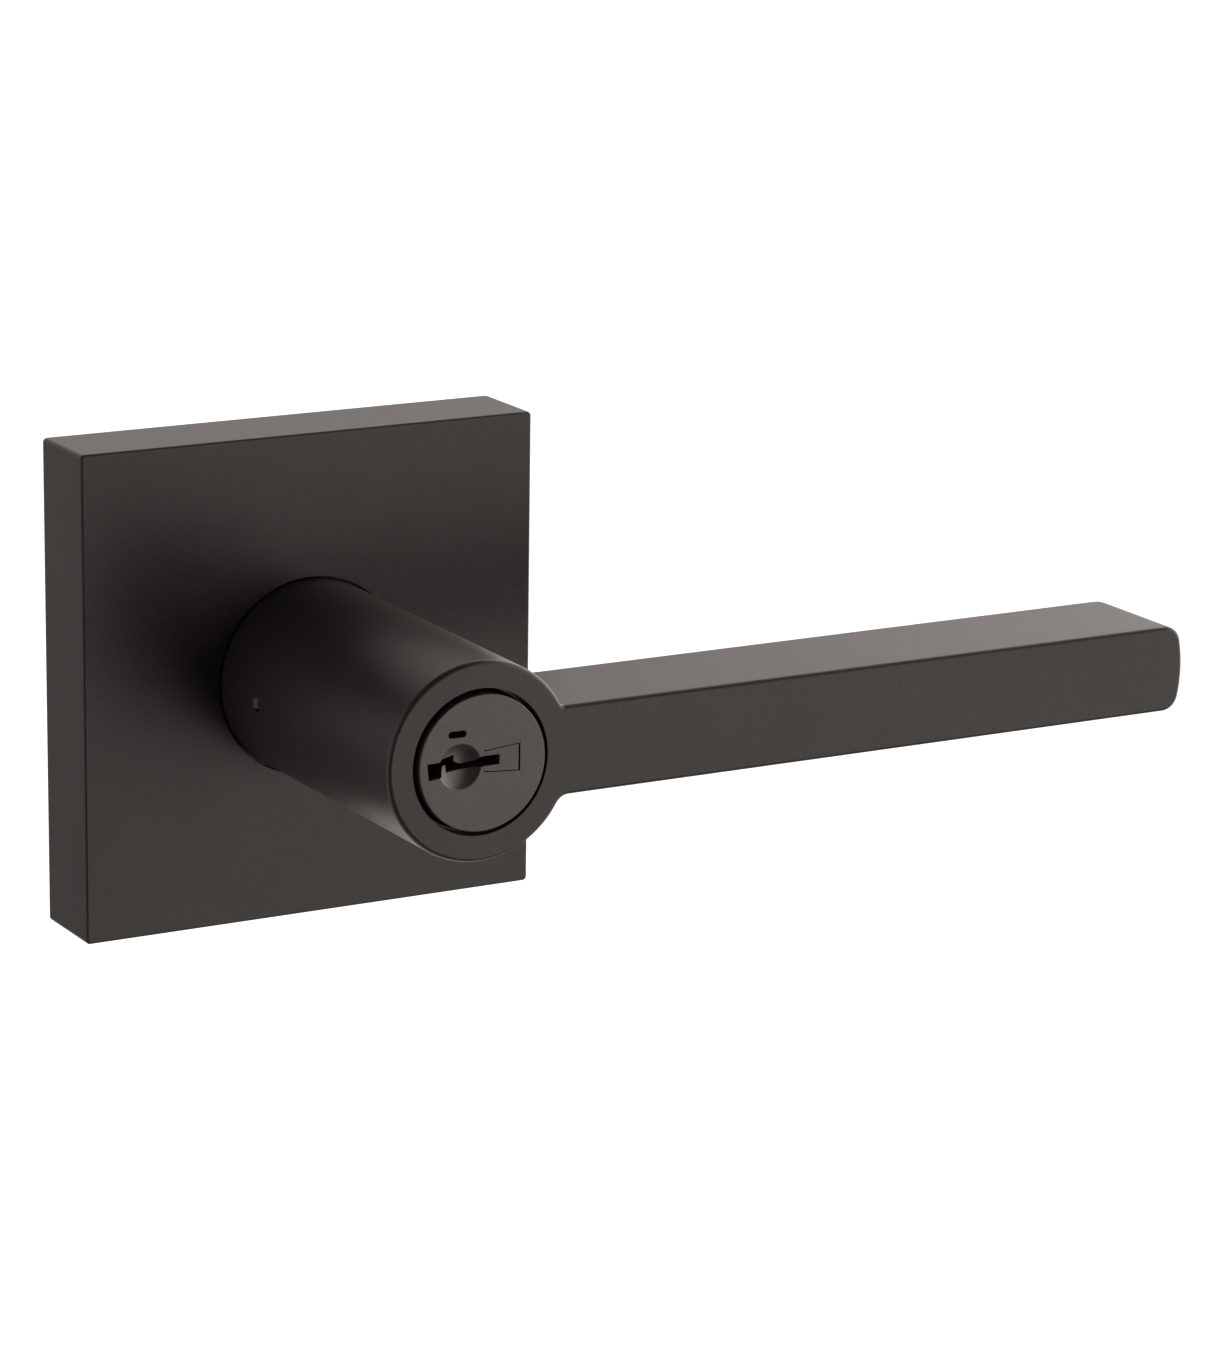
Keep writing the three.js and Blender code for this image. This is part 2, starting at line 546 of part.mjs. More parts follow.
function plug() {
  const { radius, face, rear, shoulder, neck, edge } = PLUG;
  const clipSides = [PLUG_CLIP.front - RUN, PLUG_CLIP.rear + RUN];
  const body = turned([
    [0, face], [radius - edge, face], [radius, face + edge], [radius, shoulder], [neck, shoulder],
    [neck, clipSides[0]], [PLUG_CLIP.groove, clipSides[0]], [PLUG_CLIP.groove, clipSides[1]],
    [neck, clipSides[1]], [neck, rear], [0, rear],
  ]);
  const { half, front, floor, combFloor, combRight } = POCKET;
  const stripHalf = STRIP.half + GAP;
  const barHalf = LOCK_BAR.half + GAP;
  const barFloor = LOCK_BAR.ledge - GAP;
  const headHalf = TORQUE_HEAD.halfX + GAP;
  const springTop = barFloor + GAP;
  return cut(
    body,
    prismY(keywaySection, face - 1, KEYWAY.rear),
    plugDish(),
    toolSlot(),
    prismY(insertOutline(INSERT_SEAT.side, INSERT_SEAT.right), face - 1, INSERT.rear + GAP),
    block([-half, half], [front, POCKET.rear], [floor, radius + 1]),
    block([PINS.tip - 0.5, combRight], [front, POCKET.rear], [combFloor, floor + 0.5]),
    ...pinPlaces.map((y) => rod('x', PINS.bore, PINS.tip - 0.35, STRIP.seat + 0.2, y, 0, 16)),
    block([STRIP.seat, radius + 1], [STRIP.front - GAP, STRIP.rear + GAP], [-stripHalf, stripHalf]),
    block([-barHalf, barHalf], [LOCK_BAR.front - GAP, front + 1], [barFloor, radius + 1]),
    block([-barHalf, barHalf], [POCKET.rear - 1, LOCK_BAR.rear + GAP], [barFloor, radius + 1]),
    ...BAR_SPRING.places.map((y) =>
      rod('z', BAR_SPRING_HOLE.radius, BAR_SPRING_HOLE.bottom, springTop, 0, y, 12)),
    rod('y', CARRIER_HOLE.radius, POCKET.rear - 1, CARRIER_HOLE.rear, CARRIER_SPRING.x, CARRIER_SPRING.z, 12),
    block(
      [-headHalf, headHalf], [TORQUE_HEAD.front - GAP, rear + 1],
      [TORQUE_HEAD.bottom - GAP, TORQUE_HEAD.top + GAP],
    ),
    disc(TORQUE_BAR.neck + GAP, TORQUE_HEAD.rear - 0.5, rear + 1, 16),
  );
}

function keywayInsert() {
  const opening = [KEYWAY.bottom, KEYWAY.top];
  const slot = block([INSERT.left - 1, KEYWAY.right], [PLUG.face - 1, INSERT.rear + 1], opening);
  return cut(prismY(insertOutline(0, 0), PLUG.face, INSERT.rear), slot);
}

// Triangular teeth along x: their roots at z = root, their tips at z = tip.
function teeth(from, count, { root, tip, bottom, half }) {
  const { pitch } = TOOTH;
  const points = [[from, bottom], [from, root]];
  for (let i = 0; i < count; i += 1) {
    points.push([from + (i + 0.5) * pitch, tip], [from + (i + 1) * pitch, root]);
  }
  points.push([from + count * pitch, bottom]);
  return prismY(polygon(points), -half, half);
}

function tumblerPin() {
  const { radius, tip, end } = PINS;
  const shank = rod('x', radius, tip + PIN_NOSE.length, end, 0, 0, 12);
  const nose = rod('x', radius - PIN_NOSE.step, tip, end - 1, 0, 0, 12);
  return join(shank, nose, teeth(TOOTH.pinFrom, TOOTH.pinCount, PIN_COMB));
}

// A rack plate with teeth below, half a pitch off the tumbler's, and a notch above.
function rack() {
  const { left, right, bottom, top } = RACK;
  const thick = RACK_COMB.half;
  const plate = block([left, right], [-thick, thick], [bottom, top]);
  const notch = block([RACK_NOTCH.left, RACK_NOTCH.right], [-1, 1], [RACK_NOTCH.bottom, top + 1]);
  return cut(join(plate, teeth(TOOTH.rackFrom, TOOTH.rackCount, RACK_COMB)), notch);
}

function rackCarrier() {
  const { half, front, rear, floor, roof, slotTop, slotLeft } = CARRIER;
  const slotHalf = RACK_COMB.half + GAP;
  const slots = pinPlaces.map((y) =>
    block([slotLeft, half + 1], [y - slotHalf, y + slotHalf], [floor - 1, slotTop]));
  const barHalf = LOCK_BAR.half + GAP;
  const groove = block([-barHalf, barHalf], [front - 1, rear + 1], [LOCK_BAR.foot - 0.35, roof + 1]);
  return cut(block([-half, half], [front, rear], [floor, roof]), groove, ...slots);
}

function lockingBar() {
  const { half, front, rear, foot, ledge, top } = LOCK_BAR;
  const side = top - LOCK_RIDGE.depth;
  const blade = block([-half, half], [LOCK_BLADE.front, LOCK_BLADE.rear], [foot, side]);
  const rail = block([-half, half], [front, rear], [ledge, side]);
  const ridge = prismY(polygon([
    [-half, side - 0.1], [half, side - 0.1], [half, side], [LOCK_RIDGE.half, top],
    [-LOCK_RIDGE.half, top], [-half, side],
  ]), front, rear);
  return join(blade, rail, ridge);
}

const flushInPlug = (front, rear) => disc(PLUG.radius - FLUSH, front, rear, 32);

function plugCover() {
  const front = CARRIER.front;
  const rear = POCKET.rear - GAP;
  const { half } = CARRIER;
  const barHalf = LOCK_BAR.half + GAP;
  const past = PLUG.radius + 1;
  return cut(
    flushInPlug(front, rear).intersect(block([-half, half], [front - 1, rear + 1], [COVER.inner, past])),
    block([-barHalf, barHalf], [LOCK_BLADE.front - GAP, LOCK_BLADE.rear + GAP], [COVER.inner - 1, past]),
    block([-barHalf, barHalf], [front - 1, rear + 1], [COVER.ledge, past]),
  );
}

function springStrip() {
  const { front, rear, half, inner } = STRIP;
  const limits = block([inner, PLUG.radius + 1], [front - 1, rear + 1], [-half, half]);
  return flushInPlug(front, rear).intersect(limits);
}

// The half-round bar that carries the plug's turn through the spindle. Its flat is at z = 0.
function torqueBar() {
  const { radius, front, end, neck } = TORQUE_BAR;
  const { halfX, bottom, top } = TORQUE_HEAD;
  const halfRound = new THREE.Shape();
  halfRound.absarc(0, 0, radius, Math.PI, 2 * Math.PI, false);
  halfRound.closePath();
  const head = block([-halfX, halfX], [TORQUE_HEAD.front, TORQUE_HEAD.rear], [bottom, top]);
  const stem = disc(neck, TORQUE_HEAD.rear - 0.2, front + 0.2, 16);
  return join(head, stem, prismY(halfRound, front, end, 8));
}

// ---------------------------------------------------------------- assembly

const FINISH = {
  bronze: { color: 0x2c2624, roughness: 0.45, metalness: 0.6 },
  brass: { color: 0xa98a4a, roughness: 0.35, metalness: 1 },
  zinc: { color: 0x9a9a96, roughness: 0.5, metalness: 0.9 },
  steel: { color: 0xa8abad, roughness: 0.35, metalness: 1 },
  springSteel: { color: 0x6f7276, roughness: 0.3, metalness: 1 },
};

const lockset = new THREE.Group();
const leverGroup = new THREE.Group();
const plugGroup = new THREE.Group();
lockset.add(leverGroup);
leverGroup.add(plugGroup);

function addPiece(group, name, body, finish, place = [0, 0, 0]) {
  const piece = new THREE.Mesh(geometryOf(body), new THREE.MeshStandardMaterial(FINISH[finish]));
  piece.name = name;
  piece.position.set(...place);
  group.add(piece);
}

addPiece(lockset, 'rose_cover', roseCover(), 'bronze');
addPiece(lockset, 'mounting_plate', mountingPlate(), 'zinc');
addPiece(lockset, 'post_left', post(), 'zinc', [-POST.x, 0, 0]);
addPiece(lockset, 'post_right', post(), 'zinc', [POST.x, 0, 0]);
addPiece(lockset, 'spring_cage', springCage(), 'bronze');
for (const { name, x, z } of screwPlaces) addPiece(lockset, name, cageScrew(), 'steel', [x, 0, z]);
addPiece(lockset, 'return_spring_left', returnSpring(180), 'springSteel');
addPiece(lockset, 'return_spring_right', returnSpring(0), 'springSteel');
addPiece(lockset, 'tube_bush', tubeBush(), 'brass');
addPiece(lockset, 'thrust_washer', ring(WASHER.inner, WASHER.outer, GAP, WASHER.rear), 'steel');

addPiece(leverGroup, 'lever', lever(), 'bronze');
addPiece(leverGroup, 'drive_tube', driveTube(), 'steel');
addPiece(leverGroup, 'spring_driver', springDriver(), 'steel');
addPiece(leverGroup, 'tube_circlip', snapRing(TUBE_CLIP, 270), 'springSteel');
addPiece(leverGroup, 'spindle', spindle(), 'zinc');
addPiece(leverGroup, 'spindle_circlip', snapRing(SPINDLE_CLIP, 270), 'springSteel');
addPiece(leverGroup, 'lever_catch', leverCatch(), 'steel');
addPiece(leverGroup, 'catch_spring', catchSpring(), 'springSteel');
addPiece(leverGroup, 'cylinder_housing', cylinderHousing(), 'bronze');

addPiece(plugGroup, 'plug', plug(), 'bronze');
addPiece(plugGroup, 'keyway_insert', keywayInsert(), 'bronze');
addPiece(plugGroup, 'spring_strip', springStrip(), 'brass');
addPiece(plugGroup, 'plug_cover', plugCover(), 'brass');
addPiece(plugGroup, 'plug_clip', snapRing(PLUG_CLIP, 0), 'springSteel');
const { inner: capInner, outer: capOuter, front: capFront, rear: capRear } = TAIL_CAP;
addPiece(plugGroup, 'tail_cap', ring(capInner, capOuter, capFront, capRear, 24), 'zinc');
addPiece(plugGroup, 'torque_bar', torqueBar(), 'zinc');
addPiece(plugGroup, 'locking_bar', lockingBar(), 'steel');
['bar_spring_front', 'bar_spring_rear'].forEach((name, i) => {
  const place = [0, BAR_SPRING.places[i], BAR_SPRING.from];
  addPiece(plugGroup, name, straightCoil('z', BAR_SPRING), 'springSteel', place);
});
addPiece(plugGroup, 'rack_carrier', rackCarrier(), 'zinc');
const carrierSpringPlace = [CARRIER_SPRING.x, CARRIER_SPRING.from, CARRIER_SPRING.z];
addPiece(plugGroup, 'carrier_spring', straightCoil('y', CARRIER_SPRING), 'springSteel', carrierSpringPlace);

pinPlaces.forEach((y, i) => {
  const number = i + 1;
  addPiece(plugGroup, `tumbler_pin_${number}`, tumblerPin(), 'brass', [0, y, 0]);
  const spring = straightCoil('x', PIN_SPRING);
  addPiece(plugGroup, `tumbler_spring_${number}`, spring, 'springSteel', [PIN_SPRING.from, y, 0]);
  addPiece(plugGroup, `rack_${number}`, rack(), 'steel', [0, y, 0]);
});

export default lockset;
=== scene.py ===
"""Keyed lever handle lockset, outside half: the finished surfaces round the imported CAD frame.

The row frame: the origin is on the spindle axis in the plane of the door's face, -Y points out
of the door to the user, +X to the lever's tip and +Z up. Shapes are written in millimetres and
their meshes are made in metres.
"""

import json
import math
from types import SimpleNamespace as Sizes

import bmesh
import bpy
from mathutils import Matrix, Vector


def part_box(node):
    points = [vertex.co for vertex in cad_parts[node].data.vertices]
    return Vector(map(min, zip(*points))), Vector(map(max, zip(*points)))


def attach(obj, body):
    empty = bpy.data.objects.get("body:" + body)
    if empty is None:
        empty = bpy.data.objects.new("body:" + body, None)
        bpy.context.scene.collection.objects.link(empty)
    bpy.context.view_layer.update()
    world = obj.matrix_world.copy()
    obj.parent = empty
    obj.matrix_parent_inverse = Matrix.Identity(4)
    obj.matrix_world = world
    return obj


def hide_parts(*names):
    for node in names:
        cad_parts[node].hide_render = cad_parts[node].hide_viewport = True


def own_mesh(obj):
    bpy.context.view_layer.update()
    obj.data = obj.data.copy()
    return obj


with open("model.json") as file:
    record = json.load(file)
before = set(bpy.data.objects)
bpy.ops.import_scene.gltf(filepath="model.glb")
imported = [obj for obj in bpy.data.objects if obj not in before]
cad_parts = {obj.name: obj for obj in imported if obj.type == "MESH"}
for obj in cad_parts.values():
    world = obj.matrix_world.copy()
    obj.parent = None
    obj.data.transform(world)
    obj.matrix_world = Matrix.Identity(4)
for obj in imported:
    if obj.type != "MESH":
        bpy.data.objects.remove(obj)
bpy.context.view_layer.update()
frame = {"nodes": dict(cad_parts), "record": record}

MM = 0.001


def limits(node):
    """The limits of a CAD node along x, y and z, in millimetres."""
    low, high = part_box(node)
    return [(low[i] / MM, high[i] / MM) for i in range(3)]


# -------- sizes the CAD boxes give

ROSE_X, ROSE_Y, _ = limits("rose_cover")
PLATE_X, PLATE_Y, _ = limits("mounting_plate")
LEVER_X, LEVER_Y, LEVER_Z = limits("lever")
PLUG_X, PLUG_Y, _ = limits("plug")
INSERT_X, INSERT_Y, INSERT_Z = limits("keyway_insert")

# -------- sizes inside those boxes

GAP = 0.3  # between pieces that rest on or nest in one another
RUN = 0.2  # radial clearance of turning pieces
FLUSH = 0.05  # how far a flush head lies below its face
OVERLAP = 0.2  # how far shapes that are joined or cut run into one another
PAST = 1.0  # how far a cutting tool reaches past what it cuts

ROSE_OPENING = 13.8
ROSE_WALL = 1.5
ROSE_CORNER = 0.6
ROSE_EDGE = 0.35
ROSE_REAR_EDGE = 0.25
ROSE_HOLE_EDGE = 0.1
ROSE_INSIDE_CORNER = 0.4
SNAP_LUG = Sizes(half=5, front=-3.2, rear=-2.2, reach=0.8, root=0.2)

PLATE_CORNER = 0.8
POST_PLACES = {"post_left": -19.05, "post_right": 19.05}
POST = Sizes(radius=4.0, chamfer=0.5, bore=2.1, bore_from=8, mouth=0.4)
POST_HEAD = Sizes(neck=2.5, radius=3.6, depth=1.1)
POST_THREAD = Sizes(first=1, last=56, start=1.0, pitch=0.35, depth=0.12)
SCREW_PLACES = {"cage_screw_upper": (22.5, 22.5), "cage_screw_lower": (-22.5, -22.5)}
CAGE_SCREW = Sizes(
    radius=1.5, head=2.8, length=8, chamfer=0.3, under_head=-1.15, slot_half=0.35, slot_depth=0.7,
)
SCREW_THREAD = Sizes(first=0, last=25, start=-7.7, pitch=0.25, depth=0.13)
CAGE = Sizes(hole=12.6, outer=26, inner=25, wall=1, corner=0.4)
CAGE_STOP = Sizes(inner=15.6, outer=21.4, angle=8, rear=-7.3)
CAGE_LIMIT = Sizes(inner=22.2, outer=25.4, at=64.5, angle=5)
CAGE_BOSS = Sizes(radius=3.4, web=30, web_angle=6, hole_front=-9.5)
ARC_SPRING = Sizes(path=18.5, y=-7.1, radius=2.1, wire=0.4, turns=12, half_angle=78)
BUSH = Sizes(flange=1.5, flange_front=-9.65, flange_rear=-8.8)
WASHER = Sizes(inner=11.2, outer=14.2)

HUB_FRONT_RADIUS = 13.35
HUB_REAR_RADIUS = LEVER_Z[1]
HUB_BORE = 11.3
HUB_REAR_EDGE = 0.2
LIP_OPENING = 9.75
LIP_DEPTH = 2.0
LIP_EDGE = 0.06
LEVER_EDGE = 0.65
BAR_HALF = 6.0
BAR_REAR = -44.4
TIP_BULGE = 0.95
TIP_CORNER = 2.5
TIP_PLAN_CORNER = 1.3
FILLET_UPPER = 0.8
FILLET_LOWER = 2.0

GROOVE_PLAY = 0.25  # on each side of a ring in one of the drive tube's grooves
TUBE = Sizes(outer=10.9, inner=9.3, flat=10.4, flat_front=-4.6, end=1.5, end_hole=3.9)
TUBE_CLIP = Sizes(inner=10.35, outer=13.2, groove=10.05, open_angle=25)
SPINDLE_CLIP = Sizes(inner=7.4, outer=9.7, groove=9.9, open_angle=30)
DRIVER = Sizes(front=-4.2, rear=-2.6, radius=21.6, ear=24.6, ear_root=2, angle=8)
DRIVER_LUG = Sizes(inner=15.8, outer=21.2, front=-6.9, rear=-3.4)
DRIVE_KEY = Sizes(half=1.5, front=-27, rear=-14, inner=10.1, root=0.4, play=0.4)
SPINDLE = Sizes(
    half=4.0, base=4.15, bore=3.2, chamfer=0.5, foot_end=3.8, flange_front=-0.4, flange_rear=1.2,
)
CATCH = Sizes(y=-23.5, nose=1.9, hole=2.3, poke=1.0, reach=12.3, tip_step=0.4)
SHOULDER = Sizes(half=2.2, half_z=2, outer=8.8, inner=7.8)
CATCH_SPRING = Sizes(
    reach=70, steps=40, rest=8.8, bow=1.55, half=0.2, half_width=2.5, ends_x=-3.0, keep=0.58,
)
HOUSING = Sizes(outer=11.0, inner=9.4, groove_half=0.95, groove_bottom=10.1)
HOUSING_KEY = Sizes(half=1.5, front=-49.4, reach=12, root=0.4)

PLUG_RADIUS = PLUG_X[1]
PLUG_EDGE = 0.15
PLUG_SHOULDER = -33.3
PLUG_NECK = 8
PLUG_CLIP = Sizes(inner=7.3, outer=10.4, groove=7, open_angle=50)
PINS = Sizes(
    count=5, first=6.5, pitch=3.8, radius=1.15, nose=0.7, tip=-0.4, shank_start=0.0, end=3.4,
    bore=1.45, bore_start=-0.75,
)
PIN_PLACES = [PLUG_Y[0] + PINS.first + PINS.pitch * i for i in range(PINS.count)]
PIN_SPRING = Sizes(start=3.7, length=4.2, radius=0.8, wire=0.15, turns=4.5, keep=0.39)
STRIP = Sizes(front=-58.1, rear=-38.7, half=1.8, inner=8.3, seat=8)
POCKET = Sizes(half=5.6, front=-57.7, rear=-36.2, floor=2)
COMB_ROOM = Sizes(left=-0.9, right=6.3, floor=1.3, top=2.5)
TOOTH_PITCH = 0.8
PIN_COMB = Sizes(start=0.2, count=4, root=1.35, tip=1.8, bottom=0.4, half=0.5)
RACK_COMB = Sizes(start=-0.2, count=3, root=2.1, tip=1.65, bottom=2.6, half=0.6)
RACK = Sizes(
    left=-3.5, right=2.3, bottom=2.45, top=4.6, notch_left=-2.3, notch_right=-0.7, notch_bottom=3.9,
)
CARRIER = Sizes(half=5.3, floor=2.35, roof=5.6, slot_left=-3.8, slot_top=4.9, bar_floor=4.75)
CARRIER_SPRING = Sizes(
    x=-3.5, z=3.8, start=-38.7, length=4.6, radius=0.75, wire=0.15, turns=5, keep=0.44,
    hole=1.15, hole_rear=-33.8,
)
LOCK_BAR = Sizes(
    half=0.6, front=-59.1, rear=-33.9, foot=5.1, ledge=7.25, side=8.2, top=8.7, tip_half=0.2,
    ridge_root=0.1,
)
LOCK_BLADE = Sizes(front=-56.3, rear=-37.7)
BAR_SPRING_PLACES = {"bar_spring_front": -58.55, "bar_spring_rear": -34.9}
BAR_SPRING = Sizes(length=1.9, radius=0.6, wire=0.12, turns=4, hole=0.95, bottom=4.9)
COVER_BOTTOM = 5.9
TAIL_CAP = Sizes(inner=2.75, outer=7.5)
TORQUE_HEAD = Sizes(half=3.6, front=-32.9, rear=-31.3, bottom=-1.5, top=1.0)
TORQUE_BAR = Sizes(radius=2.4, front=-29.0, neck=2.0, neck_room=-31.8)


# -------- mesh tools


def both(half):
    """Limits as far to one side of the axis as to the other."""
    return (-half, half)


def beyond(low, high, by=PAST):
    """Limits that reach past two others."""
    return (low - by, high + by)


def mesh_object(points, faces):
    """A closed mesh with its faces pointing out, from points in millimetres."""
    mesh = bpy.data.meshes.new("piece")
    mesh.from_pydata([Vector(point) * MM for point in points], [], faces)
    working = bmesh.new()
    working.from_mesh(mesh)
    bmesh.ops.remove_doubles(working, verts=working.verts, dist=1e-7)
    bmesh.ops.recalc_face_normals(working, faces=working.faces)
    working.to_mesh(mesh)
    working.free()
    piece = bpy.data.objects.new("piece", mesh)
    bpy.context.scene.collection.objects.link(piece)
    return piece


def skin_faces(start, count, rows, closed=False):
    """Quads between consecutive loops of points, the first of which begins at start."""
    faces = []
    for row in range(rows if closed else rows - 1):
        here = start + row * count
        there = start + ((row + 1) % rows) * count
        for i in range(count):
            j = (i + 1) % count
            faces.append((here + i, here + j, there + j, there + i))
    return faces


def skin(loops, closed=False):
    """A body through loops of points: closed on itself, or with a flat face at each end."""
    count = len(loops[0])
    points = [point for loop in loops for point in loop]
    faces = skin_faces(0, count, len(loops), closed)
    if not closed:
        last = count * (len(loops) - 1)
        faces.append(tuple(range(count)))
        faces.append(tuple(range(last, last + count)))
    return mesh_object(points, faces)


def circle(radius, y, segments=96, x=0.0, z=0.0):
    steps = [2 * math.pi * i / segments for i in range(segments)]
    return [(x + radius * math.cos(a), y, z + radius * math.sin(a)) for a in steps]


def turned(profile, segments=96):
    """A body turned about the Y axis from [radius, y] points. The profile closes on itself
    unless both its ends are on the axis."""
    solid = profile[0][0] == 0
    steps = profile[1:-1] if solid else profile
    return skin([circle(radius, y, segments) for radius, y in steps], closed=not solid)


def disc(radius, y0, y1, segments=96):
    return turned([(0, y0), (radius, y0), (radius, y1), (0, y1)], segments)


def ring(inner, outer, y0, y1, segments=96):
    return turned([(inner, y0), (outer, y0), (outer, y1), (inner, y1)], segments)


def block(x, y, z):
    """A box from its limits along x, y and z."""
    return skin([
        [(x[0], side, z[0]), (x[1], side, z[0]), (x[1], side, z[1]), (x[0], side, z[1])] for side in y
    ])


def prism(outline, y0, y1):
    """A prism along Y of an outline of x, z points."""
    return skin([[(x, y, z) for x, z in outline] for y in (y0, y1)])


def rod(axis, radius, low, high, u, v, segments=48):
    """A round rod along x, y or z, through (u, v) on the two other axes."""
    places = {
        "x": lambda along, a, b: (along, u + a, v + b),
        "y": lambda along, a, b: (u + a, along, v + b),
        "z": lambda along, a, b: (u + a, v + b, along),
    }
    steps = [2 * math.pi * i / segments for i in range(segments)]
    place = places[axis]
    ends = (low, high)
    return skin([[place(e, radius * math.cos(a), radius * math.sin(a)) for a in steps] for e in ends])


def apply_modifiers(piece):
    bpy.context.view_layer.update()
    evaluated = piece.evaluated_get(bpy.context.evaluated_depsgraph_get())
    mesh = bpy.data.meshes.new_from_object(evaluated)
    piece.modifiers.clear()
    piece.data = mesh


def combine(operation, piece, tools):
    for tool in tools:
        boolean = piece.modifiers.new("boolean", "BOOLEAN")
        boolean.operation = operation
        boolean.solver = "MANIFOLD"
        boolean.object = tool
    apply_modifiers(piece)
    for tool in tools:
        bpy.data.objects.remove(tool)
    return piece


def cut(piece, *tools):
    return combine("DIFFERENCE", piece, tools)


def join(piece, *tools):
    return combine("UNION", piece, tools)


def arc(radius, centre, start, end, steps):
    """Points on an arc about centre, both ends included, with angles in radians."""
    angles = [start + (end - start) * i / steps for i in range(steps + 1)]
    return [(centre[0] + radius * math.cos(a), centre[1] + radius * math.sin(a)) for a in angles]


def line(start, end, steps):
    """Points on a line between two points, both left out."""
    return [tuple(s + (e - s) * i / steps for s, e in zip(start, end)) for i in range(1, steps)]


def sector(inner, outer, middle, half, y0, y1):
    """Part of a ring about the Y axis, centred on an angle in degrees from +X towards +Z."""
    start, end = math.radians(middle - half), math.radians(middle + half)
    steps = max(6, round(half / 2))
    outline = arc(outer, (0, 0), start, end, steps) + arc(inner, (0, 0), end, start, steps)
    return prism(outline, y0, y1)


def coil(frame_at, radius, wire, turns, sides=8, steps_per_turn=20):
    """A spring's wire wound round a path. frame_at(t) gives the path's point at t, from 0 to 1,
    and the two directions across it."""
    steps = round(turns * steps_per_turn)
    centres = []
    outwards = []
    for i in range(steps + 1):
        place, side, rise = frame_at(i / steps)
        turn = 2 * math.pi * turns * i / steps
        out = side * math.cos(turn) + rise * math.sin(turn)
        centres.append(place + out * radius)
        outwards.append(out)
    loops = []
    for i, centre in enumerate(centres):
        along = (centres[min(i + 1, steps)] - centres[max(i - 1, 0)]).normalized()
        out = (outwards[i] - along * outwards[i].dot(along)).normalized()
        across = along.cross(out)
        section = [2 * math.pi * k / sides for k in range(sides)]
        loops.append([centre + (out * math.cos(a) + across * math.sin(a)) * wire for a in section])
    return skin(loops)


def straight_coil(axis, spring, start):
    """A straight spring of the given sizes along x, y or z from a starting point."""
    unit = {"x": Vector((1, 0, 0)), "y": Vector((0, 1, 0)), "z": Vector((0, 0, 1))}
    side, rise = [unit[name] for name in "xyz" if name != axis]
    reach = spring.length - 2 * spring.wire

    def frame_at(t):
        return Vector(start) + unit[axis] * (spring.wire + t * reach), side, rise

    return coil(frame_at, spring.radius, spring.wire, spring.turns)


def rounding(radius, steps=5):
    """How far an edge of this radius has stepped in, and how deep it is, from outside to flank."""
    quarter = [math.pi / 2 * i / steps for i in range(steps + 1)]
    return [(radius * (1 - math.sin(a)), radius * (1 - math.cos(a))) for a in quarter]


# -------- materials


class Shader:
    """An emptied node tree: each call of node() adds one node with its inputs set or linked."""

    def __init__(self, tree):
        self.tree = tree
        self.tree.nodes.clear()

    def node(self, kind, inputs=None, **settings):
        made = self.tree.nodes.new(kind)
        for name, value in settings.items():
            setattr(made, name, value)
        for key, value in (inputs or {}).items():
            if isinstance(value, bpy.types.NodeSocket):
                self.tree.links.new(value, made.inputs[key])
            else:
                made.inputs[key].default_value = value
        return made

    def noise(self, place, scale, detail=2.0, roughness=0.5):
        inputs = {"Vector": place, "Scale": scale, "Detail": detail, "Roughness": roughness}
        return self.node("ShaderNodeTexNoise", inputs).outputs["Fac"]

    def remap(self, value, low, high, to_low, to_high):
        inputs = {"Value": value, "From Min": low, "From Max": high, "To Min": to_low, "To Max": to_high}
        return self.node("ShaderNodeMapRange", inputs).outputs["Result"]

    def mix(self, amount, first, second):
        mixed = self.node("ShaderNodeMix", data_type="RGBA")
        for index, value in ((0, amount), (6, first), (7, second)):
            if isinstance(value, bpy.types.NodeSocket):
                self.tree.links.new(value, mixed.inputs[index])
            else:
                mixed.inputs[index].default_value = value
        return mixed.outputs[2]

    def maths(self, operation, first, second=0.0):
        return self.node("ShaderNodeMath", {0: first, 1: second}, operation=operation).outputs[0]


def new_material(name):
    material = bpy.data.materials.new(name)
    material.use_nodes = True
    return material, Shader(material.node_tree)


LOOKS = {
    "dark_bronze": dict(
        base=(0.056, 0.051, 0.050), patch=(0.061, 0.055, 0.054), worn=(0.11, 0.09, 0.08),
        metallic=0.40, roughness=0.34, grain=4200, grain_depth=0.012, speckle=0.18, wear=0.10,
    ),
    "dark_bronze_plug": dict(
        base=(0.104, 0.095, 0.094), patch=(0.112, 0.101, 0.099), worn=(0.16, 0.14, 0.12),
        metallic=0.60, roughness=0.34, grain=4200, grain_depth=0.010, speckle=0.16, wear=0.15,
    ),
    "zinc_plate": dict(
        base=(0.52, 0.53, 0.54), patch=(0.44, 0.46, 0.49), worn=(0.68, 0.69, 0.70),
        metallic=1.0, roughness=0.34, grain=2600, grain_depth=0.008, speckle=0.05, wear=0.4,
    ),
    "cast_zinc": dict(
        base=(0.36, 0.36, 0.36), patch=(0.30, 0.30, 0.31), worn=(0.50, 0.50, 0.50),
        metallic=1.0, roughness=0.52, grain=1800, grain_depth=0.022, speckle=0.05, wear=0.4,
    ),
    "steel": dict(
        base=(0.47, 0.47, 0.47), patch=(0.40, 0.40, 0.41), worn=(0.62, 0.62, 0.62),
        metallic=1.0, roughness=0.33, grain=3000, grain_depth=0.010, speckle=0.05, wear=0.4,
    ),
    "spring_steel": dict(
        base=(0.26, 0.26, 0.27), patch=(0.21, 0.20, 0.20), worn=(0.42, 0.42, 0.42),
        metallic=1.0, roughness=0.30, grain=3400, grain_depth=0.006, speckle=0.05, wear=0.3,
    ),
    "brass": dict(
        base=(0.55, 0.38, 0.15), patch=(0.46, 0.30, 0.11), worn=(0.75, 0.56, 0.28),
        metallic=1.0, roughness=0.32, grain=2800, grain_depth=0.010, speckle=0.05, wear=0.4,
    ),
}

